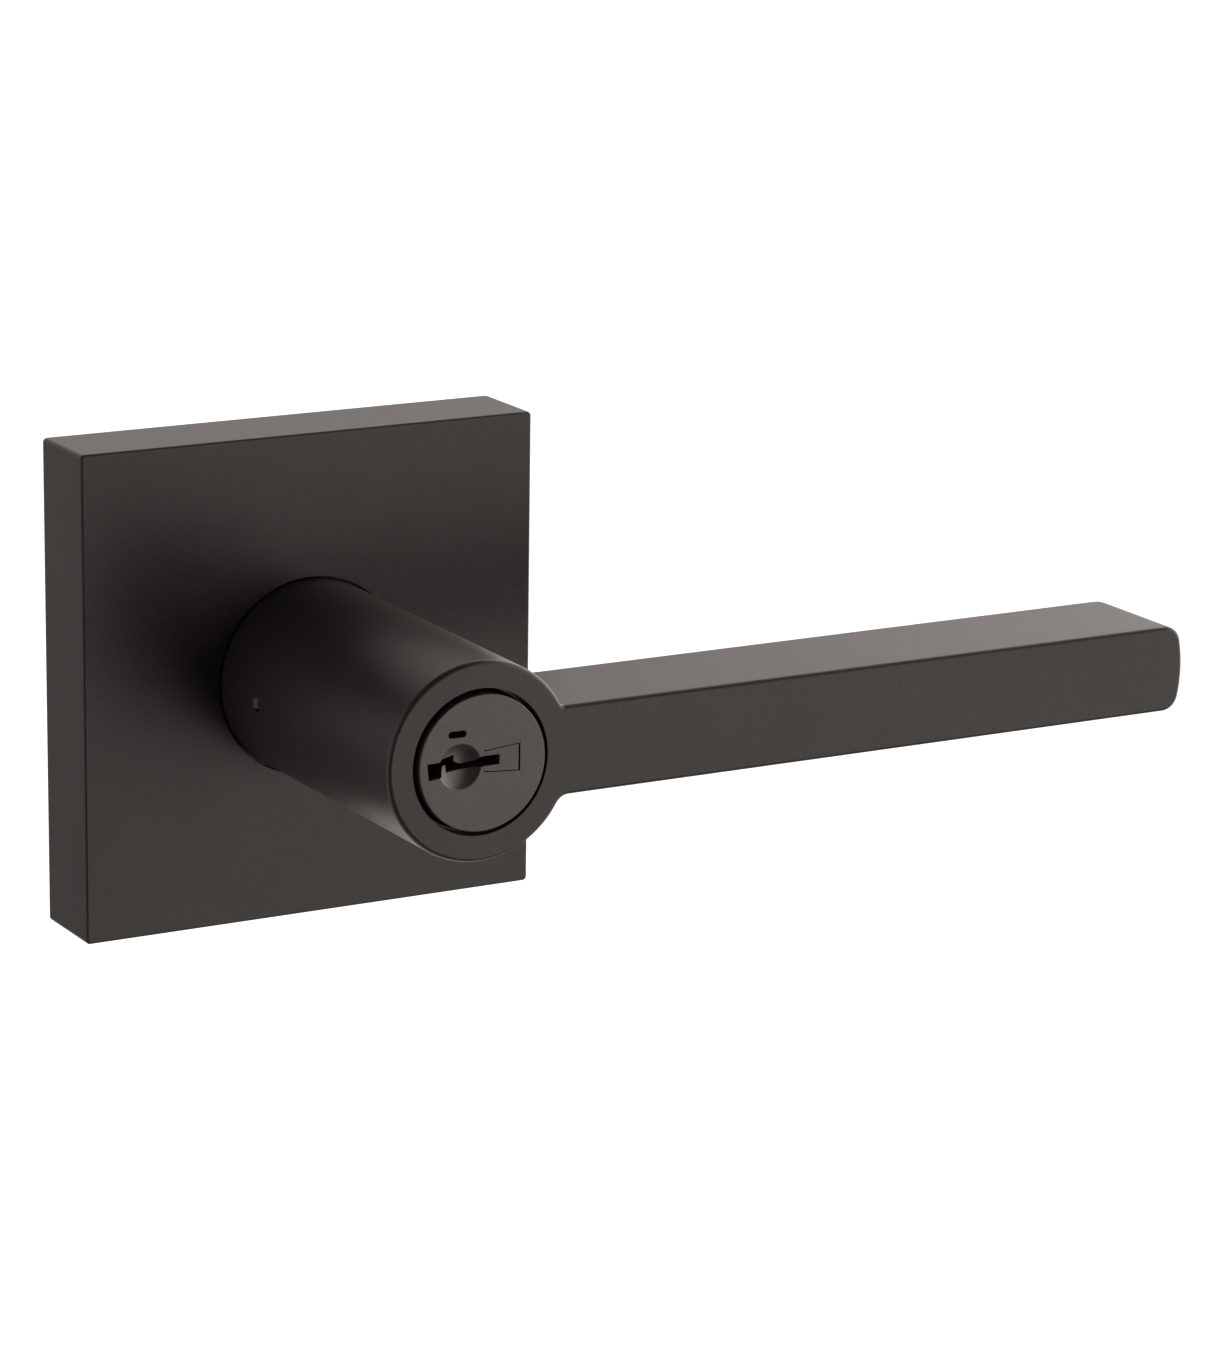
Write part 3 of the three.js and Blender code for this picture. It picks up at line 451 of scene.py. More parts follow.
EDGE_WIDTH = 0.25 * MM
SHARP_ANGLE = math.radians(38)
# A painted glint: marked faces take a near-white colour that stands in for the light the poke hole's wall
# catches.
PAINTED_GLINT = "painted_glint"
PAINTED_GLINT_COLOUR = (0.85, 0.83, 0.80, 1)


def finish_material(slot):
    """The finish of one of the record's material slots: mottled colour, fine grain, worn edges, and a
    painted glint on faces the mesh marks.
    """
    look = LOOKS[slot]
    material, shader = new_material(f"{slot}_finish")
    place = shader.node("ShaderNodeTexCoord").outputs["Object"]
    mottle = shader.noise(place, 95, detail=4)
    cloud = shader.remap(mottle, 0.35, 0.65, 0.0, 1.0)
    grain = shader.noise(place, look["grain"], detail=3, roughness=0.6)

    bevelled = shader.node("ShaderNodeBevel", {"Radius": EDGE_WIDTH}, samples=4).outputs["Normal"]
    flat = shader.node("ShaderNodeNewGeometry").outputs["Normal"]
    facing = shader.node("ShaderNodeVectorMath", {0: bevelled, 1: flat}, operation="DOT_PRODUCT")
    edge = shader.remap(facing.outputs["Value"], 0.995, 0.90, 0.0, look["wear"])
    scuff = shader.remap(shader.noise(place, 420, detail=5), 0.42, 0.60, 0.0, 1.0)
    wear = shader.maths("MULTIPLY", edge, scuff)

    colour = shader.mix(cloud, (*look["base"], 1), (*look["patch"], 1))
    tone = shader.remap(grain, 0.3, 0.7, 1 - look["speckle"], 1 + look["speckle"])
    colour = shader.node("ShaderNodeVectorMath", {0: colour, 1: tone}, operation="MULTIPLY").outputs[0]
    colour = shader.mix(wear, colour, (*look["worn"], 1))
    spread = look["roughness"] * 0.10
    rough = shader.remap(grain, 0.3, 0.7, look["roughness"] - spread, look["roughness"] + spread)
    rough = shader.maths("SUBTRACT", rough, shader.maths("MULTIPLY", wear, 0.08))
    # Painted glint: faces marked in the mesh are mixed towards a near-white colour.
    painted_glint = shader.node("ShaderNodeAttribute", attribute_name=PAINTED_GLINT).outputs["Fac"]
    colour = shader.mix(painted_glint, colour, PAINTED_GLINT_COLOUR)
    grain_depth = look["grain_depth"] * MM
    bump = shader.node("ShaderNodeBump", {"Strength": 0.5, "Distance": grain_depth, "Height": grain})
    surface = shader.node("ShaderNodeBsdfPrincipled", {
        "Base Color": colour, "Metallic": look["metallic"], "Roughness": rough,
        "Normal": bump.outputs["Normal"],
    })
    shader.node("ShaderNodeOutputMaterial", {"Surface": surface.outputs["BSDF"]})
    return material


MATERIALS = {slot: finish_material(slot) for slot in LOOKS}


# -------- pieces on their bodies

BODY_OF = {n: body for body, nodes in frame["record"]["behaviour"]["bodies"].items() for n in nodes}
SLOT_OF = {}
for node, cad in frame["nodes"].items():
    SLOT_OF[node] = cad.material_slots[0].material.name


def shade(piece):
    """Smooth shading that keeps flat faces flat and unrounded edges sharp."""
    piece.data.shade_smooth()
    piece.data.set_sharp_from_angle(angle=SHARP_ANGLE)
    normals = piece.modifiers.new("normals", "WEIGHTED_NORMAL")
    normals.keep_sharp = True


def scrape(piece, chosen):
    """Paints a near-white glint, a painted highlight, on the faces that chosen picks by their centre in
    millimetres and normal.
    """
    marks = piece.data.attributes.new(PAINTED_GLINT, "FLOAT", "FACE")
    for face in piece.data.polygons:
        marks.data[face.index].value = float(chosen(face.center / MM, face.normal))
    return piece


def publish(node, piece, edge=0.0):
    """Puts a finished piece in place of its CAD node, on the node's body and in its finish."""
    piece.name = f"fine_{node}"
    piece.data.name = piece.name
    piece.data.materials.clear()
    piece.data.materials.append(MATERIALS[SLOT_OF[node]])
    if edge:
        bevel = piece.modifiers.new("edge", "BEVEL")
        bevel.width = edge * MM
        bevel.segments = 3
        bevel.limit_method = "ANGLE"
        bevel.angle_limit = SHARP_ANGLE
    shade(piece)
    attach(piece, BODY_OF[node])
    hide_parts(node)
    return piece


def shorten(spring):
    """Gives a spring its own copy of its mesh."""
    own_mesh(spring)


# -------- rose and lever


def square_loop(half, corner, y, corner_steps=6, side_steps=24):
    """A rounded square seen along Y, as four corners by turns with four sides."""
    inset = half - corner
    corners = ((1, 1), (-1, 1), (-1, -1), (1, -1))
    points = []
    for quarter, signs in enumerate(corners):
        start = quarter * math.pi / 2
        follow = corners[(quarter + 1) % 4]
        centre = (signs[0] * inset, signs[1] * inset)
        bend = arc(corner, centre, start, start + math.pi / 2, corner_steps)
        turn = start + math.pi / 2
        next_start = (
            follow[0] * inset + corner * math.cos(turn),
            follow[1] * inset + corner * math.sin(turn),
        )
        points += bend + line(bend[-1], next_start, side_steps)
    return [(x, y, z) for x, z in points]


def rose_cover():
    half = ROSE_X[1]
    front, rear = ROSE_Y
    outer = square_loop(half, ROSE_CORNER, rear)

    def opening(radius, y):
        angles = [math.atan2(z, x) for x, _, z in outer]
        return [(radius * math.cos(a), y, radius * math.sin(a)) for a in angles]

    rear_edge = [
        square_loop(half - step, ROSE_CORNER - step, rear - depth)
        for step, depth in rounding(ROSE_REAR_EDGE, 3)
    ]
    front_edge = [
        square_loop(half - step, ROSE_CORNER - step, front + depth)
        for step, depth in reversed(rounding(ROSE_EDGE, 6))
    ]
    hole_edge = [opening(ROSE_OPENING + step, front + depth) for step, depth in rounding(ROSE_HOLE_EDGE, 3)]
    inside = half - ROSE_WALL
    back_of_face = front + ROSE_WALL
    loops = [
        *rear_edge, *front_edge, *hole_edge,
        opening(ROSE_OPENING, back_of_face),
        square_loop(inside, ROSE_INSIDE_CORNER, back_of_face),
        square_loop(inside, ROSE_INSIDE_CORNER, rear),
    ]
    shell = skin(loops, closed=True)
    across, along = both(SNAP_LUG.half), (SNAP_LUG.front, SNAP_LUG.rear)
    reach = (inside - SNAP_LUG.reach, inside + SNAP_LUG.root)
    lugs = [block(across, along, sorted(side * value for value in reach)) for side in (-1, 1)]
    return join(shell, *lugs)


HUB_STEPS = 96
CLOSE_STEPS = 24
PLAN_STEPS = 8
BAR_LAYERS = (-48, -51, -54, -57, -60)
HUB_LAYERS = (-20, -28, -36)


def lever_outline(radius, half, tip, corner):
    """The hub's circle and the bar seen from the front, as x, z points. The first
    HUB_STEPS + 1 points are the hub's arc, from the upper fillet over the left side."""
    rounded_in = BAR_HALF - half
    fillets = [FILLET_UPPER + rounded_in, FILLET_LOWER + rounded_in]
    sides = [1, -1]
    centres = []
    for fillet, side in zip(fillets, sides):
        height = half + fillet
        centres.append((math.sqrt((radius + fillet) ** 2 - height**2), side * height))
    upper, lower = [math.atan2(centre[1], centre[0]) for centre in centres]

    bulge_radius = (BAR_HALF**2 + TIP_BULGE**2) / (2 * TIP_BULGE) - rounded_in
    at_corner = half - corner
    corner_x = tip - bulge_radius + math.sqrt((bulge_radius - corner) ** 2 - at_corner**2)
    meet = math.atan2(at_corner, corner_x - (tip - bulge_radius))
    right = math.pi / 2

    hub = arc(radius, (0, 0), upper, 2 * math.pi + lower, HUB_STEPS)
    lower_fillet = arc(fillets[1], centres[1], math.pi + lower, right, 10)
    lower_corner = arc(corner, (corner_x, -at_corner), -right, -meet, 10)
    end = arc(bulge_radius, (tip - bulge_radius, 0), -meet, meet, 12)
    upper_corner = arc(corner, (corner_x, at_corner), meet, right, 10)
    upper_fillet = arc(fillets[0], centres[0], -right, upper - math.pi, 10)
    points = hub + lower_fillet[1:]
    points += line(lower_fillet[-1], lower_corner[0], 24) + lower_corner
    points += end[1:-1] + upper_corner
    points += line(upper_corner[-1], upper_fillet[0], 24) + upper_fillet[:-1]
    return points, (upper, lower)


def hub_radius(y):
    """The hub's radius, which grows evenly from its front edge to the rose."""
    front = LEVER_Y[0] + LEVER_EDGE
    along = (y - front) / (ROSE_Y[0] - front)
    return HUB_FRONT_RADIUS + (HUB_REAR_RADIUS - HUB_FRONT_RADIUS) * min(max(along, 0), 1)


def lever_layers():
    """The outlines from the bar's rear face to the lever's front face, as (y, outline, fillet ends)."""
    front, tip = LEVER_Y[0], LEVER_X[1]
    plan_start = BAR_REAR - TIP_PLAN_CORNER
    layers = []

    def add(y, bar_in, hub_in):
        past = max(y - plan_start, 0)
        plan_in = TIP_PLAN_CORNER - math.sqrt(TIP_PLAN_CORNER**2 - past**2)
        outline = lever_outline(
            hub_radius(y) - hub_in, BAR_HALF - bar_in, tip - plan_in - bar_in, TIP_CORNER - bar_in
        )
        layers.append((y, *outline))

    for step, depth in rounding(LEVER_EDGE):
        add(BAR_REAR - depth, step, 0)
    for i in range(1, PLAN_STEPS + 1):
        add(BAR_REAR - LEVER_EDGE - (TIP_PLAN_CORNER - LEVER_EDGE) * i / PLAN_STEPS, 0, 0)
    for y in BAR_LAYERS:
        add(y, 0, 0)
    for step, depth in reversed(rounding(LEVER_EDGE)):
        add(front + depth, step, step)
    return layers


def lever():
    front, rear = LEVER_Y
    layers = lever_layers()

    def hub_ring(radius, y, ends):
        upper, lower = ends
        hub = arc(radius, (0, 0), upper, 2 * math.pi + lower, HUB_STEPS)
        close = arc(radius, (0, 0), lower, upper, CLOSE_STEPS)[1:-1]
        return [(x, y, z) for x, z in hub + close]

    front_ends, back_ends = layers[-1][2], layers[0][2]
    lip_rear = front + LIP_DEPTH
    rear_step = HUB_REAR_EDGE
    loops = [hub_ring(HUB_FRONT_RADIUS - LEVER_EDGE, front, front_ends)]
    for step, depth in rounding(LIP_EDGE, 3):
        loops.append(hub_ring(LIP_OPENING + step, front + depth, front_ends))
    loops += [hub_ring(LIP_OPENING, lip_rear, front_ends), hub_ring(HUB_BORE, lip_rear, front_ends)]
    loops.append(hub_ring(HUB_BORE, rear - rear_step, back_ends))
    loops.append(hub_ring(HUB_BORE + rear_step, rear, back_ends))
    for step, depth in rounding(rear_step, 3):
        loops.append(hub_ring(HUB_REAR_RADIUS - step, rear - depth, back_ends))
    for y in (ROSE_Y[0], *HUB_LAYERS, BAR_REAR):
        loops.append(hub_ring(hub_radius(y), y, back_ends))

    points = [point for loop in loops for point in loop]
    ring_count = len(loops[0])
    faces = skin_faces(0, ring_count, len(loops))
    outline_start = len(points)
    outline_count = len(layers[0][1])
    for y, outline, _ in layers:
        points += [(x, y, z) for x, z in outline]
    faces += skin_faces(outline_start, outline_count, len(layers))

    for first_point, first_ring in (
        (outline_start, ring_count * (len(loops) - 1)),
        (outline_start + outline_count * (len(layers) - 1), 0),
    ):
        bar = [first_point + i for i in range(HUB_STEPS, outline_count)] + [first_point]
        close = [first_ring + i for i in range(HUB_STEPS + 1, ring_count)]
        faces.append(tuple(bar + close[::-1]))

    body = mesh_object(points, faces)
    key_deep = (DRIVE_KEY.inner, HUB_BORE + DRIVE_KEY.root)
    key = block(key_deep, (DRIVE_KEY.front, DRIVE_KEY.rear), both(DRIVE_KEY.half))
    seat_deep = (-HOUSING_KEY.reach - GAP, -HUB_BORE + PAST)
    key_seat = block(both(HOUSING_KEY.half + GAP), (HOUSING_KEY.front - GAP, rear + PAST), seat_deep)
    pocket_end = -CATCH.reach - CATCH.tip_step
    bored = cut(
        join(body, key),
        key_seat,
        rod("x", CATCH.hole, pocket_end, -HUB_BORE + PAST, CATCH.y, 0),
        rod("x", CATCH.poke, -HUB_REAR_RADIUS - PAST, -CATCH.reach, CATCH.y, 0),
    )

    # The poke hole's wall facing the user gets the painted glint colour.
    def faces_user_in_poke_hole(centre, normal):
        off_axis = math.hypot(centre.y - CATCH.y, centre.z)
        in_hole = centre.x < pocket_end + OVERLAP and off_axis < CATCH.poke
        return in_hole and normal.y < -0.7

    return scrape(bored, faces_user_in_poke_hole)


# -------- plug and its insert

KEYWAY_REAR = -34
KEYWAY_BOTTOM, KEYWAY_TOP, KEYWAY_RIGHT = -0.4, 0.9, 2.46
KEYWAY = [
    (-7.97, 0.79), (-7.76, -1.45), (-5.8, -1.27), (-5.58, 0.14), (-5.1, 0.23), (-4.89, -0.86),
    (-2.54, -0.68), (-0.26, -0.47), (KEYWAY_RIGHT, KEYWAY_BOTTOM), (KEYWAY_RIGHT, KEYWAY_TOP),
    (-0.2, KEYWAY_TOP), (-0.8, 0.4), (-2.76, 0.08), (-3.2, 0.2), (-3.7, 0.5), (-3.78, 1.38),
    (-5.8, 1.12), (-6.0, 0.82),
]
DISH = Sizes(x=-3.28, z=-0.12, radius=3.15, depth=1.0, steps=14)
TOOL_SLOT = Sizes(left=-4.97, right=-2.32, bottom=3.77, top=4.69)
INSERT_LEFT_Z = (-1.12, 1.53)
INSERT_SEAT = Sizes(side=0.12, right=0.25)


def insert_outline(side, right):
    """The insert's outline, grown by side above and below and by right at its right end."""
    x = INSERT_X[1] + right
    return [
        (INSERT_X[0], INSERT_LEFT_Z[0] - side), (x, INSERT_Z[0] - side),
        (x, INSERT_Z[1] + side), (INSERT_X[0], INSERT_LEFT_Z[1] + side),
    ]


def dish(face):
    """The shallow spherical hollow in the plug's face round the keyway."""
    radius, depth = DISH.radius, DISH.depth
    ball = (radius**2 + depth**2) / (2 * depth)
    rim = math.asin(radius / ball)
    profile = [(radius, face - PAST)]
    for i in range(DISH.steps):
        angle = rim * (DISH.steps - i) / DISH.steps
        profile.append((ball * math.sin(angle), face + ball * (math.cos(angle) - math.cos(rim))))
    return skin([circle(r, y, 72, DISH.x, DISH.z) for r, y in profile])


def tool_slot(face, rear):
    end = (TOOL_SLOT.top - TOOL_SLOT.bottom) / 2
    middle = TOOL_SLOT.bottom + end
    quarter = math.pi / 2
    outline = arc(end, (TOOL_SLOT.right - end, middle), -quarter, quarter, 12)
    outline += arc(end, (TOOL_SLOT.left + end, middle), quarter, 3 * quarter, 12)
    return prism(outline, face - PAST, rear)


def groove_for(snap_ring_node, wall, bottom, play):
    """The [radius, y] points of the groove that a snap ring sits in, from front to rear."""
    front, rear = limits(snap_ring_node)[1]
    return [(wall, front - play), (bottom, front - play), (bottom, rear + play), (wall, rear + play)]


def plug():
    face, rear = PLUG_Y
    past = PLUG_RADIUS + PAST
    rim = [(PLUG_RADIUS - step, face + depth) for step, depth in rounding(PLUG_EDGE, 4)]
    body = turned([
        (0, face), *rim, (PLUG_RADIUS, PLUG_SHOULDER), (PLUG_NECK, PLUG_SHOULDER),
        *groove_for("plug_clip", PLUG_NECK, PLUG_CLIP.groove, RUN), (PLUG_NECK, rear), (0, rear),
    ], 160)
    pocket = (POCKET.front, POCKET.rear)
    bar_across, bar_deep = both(LOCK_BAR.half + GAP), (LOCK_BAR.ledge - GAP, past)
    pin_bores = [rod("x", PINS.bore, PINS.bore_start, STRIP.seat + OVERLAP, y, 0) for y in PIN_PLACES]
    spring_bores = [
        rod("z", BAR_SPRING.hole, BAR_SPRING.bottom, LOCK_BAR.ledge, 0, y)
        for y in BAR_SPRING_PLACES.values()
    ]
    return cut(
        body,
        prism(KEYWAY, face - PAST, KEYWAY_REAR),
        dish(face),
        tool_slot(face, POCKET.front + OVERLAP),
        prism(insert_outline(INSERT_SEAT.side, INSERT_SEAT.right), face - PAST, INSERT_Y[1] + GAP),
        block(both(POCKET.half), pocket, (POCKET.floor, past)),
        block((COMB_ROOM.left, COMB_ROOM.right), pocket, (COMB_ROOM.floor, COMB_ROOM.top)),
        *pin_bores,
        block((STRIP.seat, past), beyond(STRIP.front, STRIP.rear, GAP), both(STRIP.half + GAP)),
        block(bar_across, (LOCK_BAR.front - GAP, POCKET.front + PAST), bar_deep),
        block(bar_across, (POCKET.rear - PAST, LOCK_BAR.rear + GAP), bar_deep),
        *spring_bores,
        rod(
            "y", CARRIER_SPRING.hole, POCKET.rear - PAST, CARRIER_SPRING.hole_rear,
            CARRIER_SPRING.x, CARRIER_SPRING.z,
        ),
        block(
            both(TORQUE_HEAD.half + GAP), (TORQUE_HEAD.front - GAP, rear + PAST),
            beyond(TORQUE_HEAD.bottom, TORQUE_HEAD.top, GAP),
        ),
        disc(TORQUE_BAR.neck + GAP, TORQUE_BAR.neck_room, rear + PAST, 48),
    )


def keyway_insert():
    slot = block((INSERT_X[0] - PAST, KEYWAY_RIGHT), beyond(*INSERT_Y), (KEYWAY_BOTTOM, KEYWAY_TOP))
    return cut(prism(insert_outline(0, 0), *INSERT_Y), slot)


# -------- fixed pieces on the door


def moved(piece, x, z):
    piece.data.transform(Matrix.Translation(Vector((x, 0, z)) * MM))
    return piece


def thread(radius, sizes):
    """A thread drawn as shallow rings: crests and roots by turns, as [radius, y] points."""
    turns = range(sizes.first, sizes.last + 1)
    return [(radius - sizes.depth * (i % 2), sizes.start + sizes.pitch * i) for i in turns]


def countersink(narrow, wide, wide_end, narrow_end, x, z):
    inwards = 1 if narrow_end > wide_end else -1
    profile = [
        (0, wide_end - inwards), (wide, wide_end - inwards), (wide, wide_end),
        (narrow, wide_end + POST_HEAD.depth * inwards), (narrow, narrow_end + inwards),
        (0, narrow_end + inwards),
    ]
    return moved(turned(profile, 48), x, z)


def mounting_plate():
    front, rear = PLATE_Y
    outline = [(x, z) for x, _, z in square_loop(PLATE_X[1], PLATE_CORNER, 0)]
    posts = [
        countersink(POST_HEAD.neck + GAP, POST_HEAD.radius + GAP, front, rear, x, 0)
        for x in POST_PLACES.values()
    ]
    screws = [
        countersink(CAGE_SCREW.radius + GAP, CAGE_SCREW.head + GAP, rear, front, x, z)
        for x, z in SCREW_PLACES.values()
    ]
    return cut(prism(outline, front, rear), disc(HUB_BORE, *beyond(front, rear)), *posts, *screws)


def post(x):
    length = limits("post_left")[1][1]
    head = PLATE_Y[0] + FLUSH
    radius, chamfer, bore, mouth = POST.radius, POST.chamfer, POST.bore, POST.mouth
    profile = [
        (0, head), (POST_HEAD.radius, head), (POST_HEAD.neck, PLATE_Y[0] + POST_HEAD.depth),
        (POST_HEAD.neck, GAP), (radius - POST_THREAD.depth, GAP), (radius, GAP + OVERLAP),
        *thread(radius, POST_THREAD),
        (radius, length - chamfer), (radius - chamfer, length), (bore + mouth, length),
        (bore, length - mouth), (bore, POST.bore_from), (0, POST.bore_from),
    ]
    return moved(turned(profile, 40), x, 0)


def spring_cage():
    front, rear = limits("spring_cage")[1]
    floor_rear = front + CAGE.wall
    cup = turned([
        (CAGE.hole, front), (CAGE.outer - CAGE.corner, front), (CAGE.outer, front + CAGE.corner),
        (CAGE.outer, rear), (CAGE.inner, rear), (CAGE.inner, floor_rear), (CAGE.hole, floor_rear),
    ])
    root = front + CAGE.wall / 2
    ends_at = [side * at for side in (1, -1) for at in (CAGE_LIMIT.at, 180 - CAGE_LIMIT.at)]
    stops = [
        sector(CAGE_STOP.inner, CAGE_STOP.outer, at, CAGE_STOP.angle, root, CAGE_STOP.rear)
        for at in (90, 270)
    ]
    ends = [
        sector(CAGE_LIMIT.inner, CAGE_LIMIT.outer, at, CAGE_LIMIT.angle, root, rear)
        for at in ends_at
    ]
    bosses = [rod("y", CAGE_BOSS.radius, front, rear, x, z) for x, z in SCREW_PLACES.values()]
    webs = [
        sector(CAGE_LIMIT.outer, CAGE_BOSS.web, at, CAGE_BOSS.web_angle, front, rear)
        for at in (45, 225)
    ]
    bore = CAGE_SCREW.radius + GAP
    holes = [rod("y", bore, CAGE_BOSS.hole_front, 0, x, z) for x, z in SCREW_PLACES.values()]
    return cut(join(cup, *stops, *ends, *bosses, *webs), *holes)


def cage_screw(x, z):
    radius, head, length = CAGE_SCREW.radius, CAGE_SCREW.head, CAGE_SCREW.length
    profile = [
        (0, -length), (radius - CAGE_SCREW.chamfer, -length), *thread(radius, SCREW_THREAD),
        (radius, CAGE_SCREW.under_head), (head, -FLUSH), (0, -FLUSH),
    ]
    slot = block(both(head + PAST), (-CAGE_SCREW.slot_depth, PAST), both(CAGE_SCREW.slot_half))
    return moved(cut(turned(profile, 40), slot), x, z)


def return_spring(middle):
    """A coil spring curved about the spindle axis, centred on an angle in degrees."""
    half = ARC_SPRING.half_angle

    def frame_at(t):
        angle = math.radians(middle - half + 2 * half * t)
        side = Vector((math.cos(angle), 0, math.sin(angle)))
        return side * ARC_SPRING.path + Vector((0, ARC_SPRING.y, 0)), side, Vector((0, 1, 0))

    return coil(
        frame_at, ARC_SPRING.radius, ARC_SPRING.wire, ARC_SPRING.turns, sides=10, steps_per_turn=24
    )


def tube_bush():
    bore = TUBE.outer + RUN
    outer = CAGE.hole - GAP
    flange = outer + BUSH.flange
    front, rear = limits("tube_bush")[1]
    return turned([
        (bore, front), (outer, front), (outer, BUSH.flange_front), (flange, BUSH.flange_front),
        (flange, BUSH.flange_rear), (outer, BUSH.flange_rear), (outer, rear), (bore, rear),
    ])


def thrust_washer():
    return ring(WASHER.inner, WASHER.outer, *limits("thrust_washer")[1])


# -------- drive


def snap_ring(node, clip, open_at):
    """A snap ring about the Y axis with its opening centred on an angle in degrees."""
    return sector(clip.inner, clip.outer, open_at + 180, 180 - clip.open_angle, *limits(node)[1])


def drive_tube():
    outer, inner, end = TUBE.outer, TUBE.inner, TUBE.end
    front, rear = limits("drive_tube")[1]
    shape = turned([
        (inner, front), (outer, front),
        *groove_for("tube_circlip", outer, TUBE_CLIP.groove, GROOVE_PLAY),
        (outer, rear), (TUBE.end_hole, rear), (TUBE.end_hole, end), (inner, end),
        *groove_for("spindle_circlip", inner, SPINDLE_CLIP.groove, GROOVE_PLAY)[::-1],
    ])
    past = outer + PAST
    flat_along = (TUBE.flat_front, rear + PAST)
    square = both(SPINDLE.base + GAP)
    key_along = (front - PAST, DRIVE_KEY.rear + DRIVE_KEY.play)
    return cut(
        shape,
        block(both(past), flat_along, (TUBE.flat, past)),
        block(both(past), flat_along, (-past, -TUBE.flat)),
        block(square, (end - PAST, rear + PAST), square),
        block((inner - PAST, past), key_along, both(DRIVE_KEY.half + GAP)),
        rod("x", CATCH.hole, -past, -inner + PAST, CATCH.y, 0),
    )


def spring_driver():
    front, rear, radius = DRIVER.front, DRIVER.rear, DRIVER.radius
    ears = [
        sector(radius - DRIVER.ear_root, DRIVER.ear, at, DRIVER.angle, front, rear)
        for at in (0, 180)
    ]
    lugs = [
        sector(DRIVER_LUG.inner, DRIVER_LUG.outer, at, DRIVER.angle, DRIVER_LUG.front, DRIVER_LUG.rear)
        for at in (90, 270)
    ]
    plate = join(disc(radius, front, rear), *ears, *lugs)
    bore = disc(TUBE.outer + GAP, *beyond(front, rear))
    flats = block(both(radius), beyond(front, rear, 2 * PAST), both(TUBE.flat + GAP))
    return cut(plate, combine("INTERSECT", bore, [flats]))


def spindle():
    end = limits("spindle")[1][1]
    half, base, foot_end = SPINDLE.half, SPINDLE.base, SPINDLE.foot_end
    side = half - SPINDLE.chamfer
    bar = [
        (side, -half), (half, -side), (half, side), (side, half),
        (-side, half), (-half, side), (-half, -side), (-side, -half),
    ]
    flange = disc(TUBE.inner - GAP, SPINDLE.flange_front, SPINDLE.flange_rear)
    foot = block(both(base), (SPINDLE.flange_rear - OVERLAP, foot_end), both(base))
    body = join(flange, foot, prism(bar, foot_end - PAST, end))
    return cut(body, disc(SPINDLE.bore, -PAST, end + PAST, 64))


def lever_catch():
    stem_end = -SHOULDER.outer + CATCH.tip_step
    stem = rod("x", CATCH.nose, -CATCH.reach + GAP, stem_end, CATCH.y, 0)
    tip_end = -CATCH.reach + 2 * CATCH.tip_step
    tip = rod("x", CATCH.nose - CATCH.tip_step, -CATCH.reach, tip_end, CATCH.y, 0)
    along = beyond(CATCH.y, CATCH.y, SHOULDER.half)
    shoulder = block((-SHOULDER.outer, -SHOULDER.inner), along, both(SHOULDER.half_z))
    return join(stem, tip, shoulder)


def catch_spring():
    """A leaf bowed inwards at the catch, with both ends resting on the tube's inside."""
    reach, steps = CATCH_SPRING.reach, CATCH_SPRING.steps

    def edge(offset):
        points = []
        for i in range(steps + 1):
            angle = -reach + 2 * reach * i / steps
            bow = CATCH_SPRING.bow * math.cos(math.radians(angle * 90 / reach)) ** 2
            radius = CATCH_SPRING.rest - bow + offset
            points.append((-radius * math.cos(math.radians(angle)), radius * math.sin(math.radians(angle))))
        return points

    outline = edge(CATCH_SPRING.half) + edge(-CATCH_SPRING.half)[::-1]
    return prism(outline, *beyond(CATCH.y, CATCH.y, CATCH_SPRING.half_width))


# -------- inside the lock cylinder


def cylinder_housing():
    front, rear = limits("cylinder_housing")[1]
    outer, inner = HOUSING.outer, HOUSING.inner
    key_deep = (-HOUSING_KEY.reach, -outer + HOUSING_KEY.root)
    key = block(both(HOUSING_KEY.half), (HOUSING_KEY.front, rear), key_deep)
    body = join(ring(inner, outer, front, rear), key)
    along, across = beyond(front, rear), both(HOUSING.groove_half)
    deep = (inner - PAST, HOUSING.groove_bottom)
    return cut(body, block(across, along, deep), block(deep, along, across))


def teeth(start, count, comb, y):
    """Triangular teeth along x: their roots at z = comb.root, their tips at z = comb.tip."""
    points = [(start, comb.bottom), (start, comb.root)]
    for i in range(count):
        points.append((start + (i + 0.5) * TOOTH_PITCH, comb.tip))
        points.append((start + (i + 1) * TOOTH_PITCH, comb.root))
    points.append((start + count * TOOTH_PITCH, comb.bottom))
    return prism(points, *beyond(y, y, comb.half))


def tumbler_pin(y):
    shank = rod("x", PINS.radius, PINS.shank_start, PINS.end, y, 0)
    nose = rod("x", PINS.nose, PINS.tip, PINS.end - PAST, y, 0)
    return join(shank, nose, teeth(PIN_COMB.start, PIN_COMB.count, PIN_COMB, y))


def rack(y):
    plate = block((RACK.left, RACK.right), beyond(y, y, RACK_COMB.half), (RACK.bottom, RACK.top))
    notch_deep = (RACK.notch_bottom, RACK.top + PAST)
    notch = block((RACK.notch_left, RACK.notch_right), beyond(y, y), notch_deep)
    return cut(join(plate, teeth(RACK_COMB.start, RACK_COMB.count, RACK_COMB, y)), notch)


def rack_carrier():
    front, rear = limits("rack_carrier")[1]
    half, bottom, roof = CARRIER.half, CARRIER.floor, CARRIER.roof
    slot_across, slot_deep = (CARRIER.slot_left, half + PAST), (bottom - PAST, CARRIER.slot_top)
    slots = [block(slot_across, beyond(y, y, RACK_COMB.half + GAP), slot_deep) for y in PIN_PLACES]
    groove_deep = (CARRIER.bar_floor, roof + PAST)
    groove = block(both(LOCK_BAR.half + GAP), beyond(front, rear), groove_deep)
    return cut(block(both(half), (front, rear), (bottom, roof)), groove, *slots)


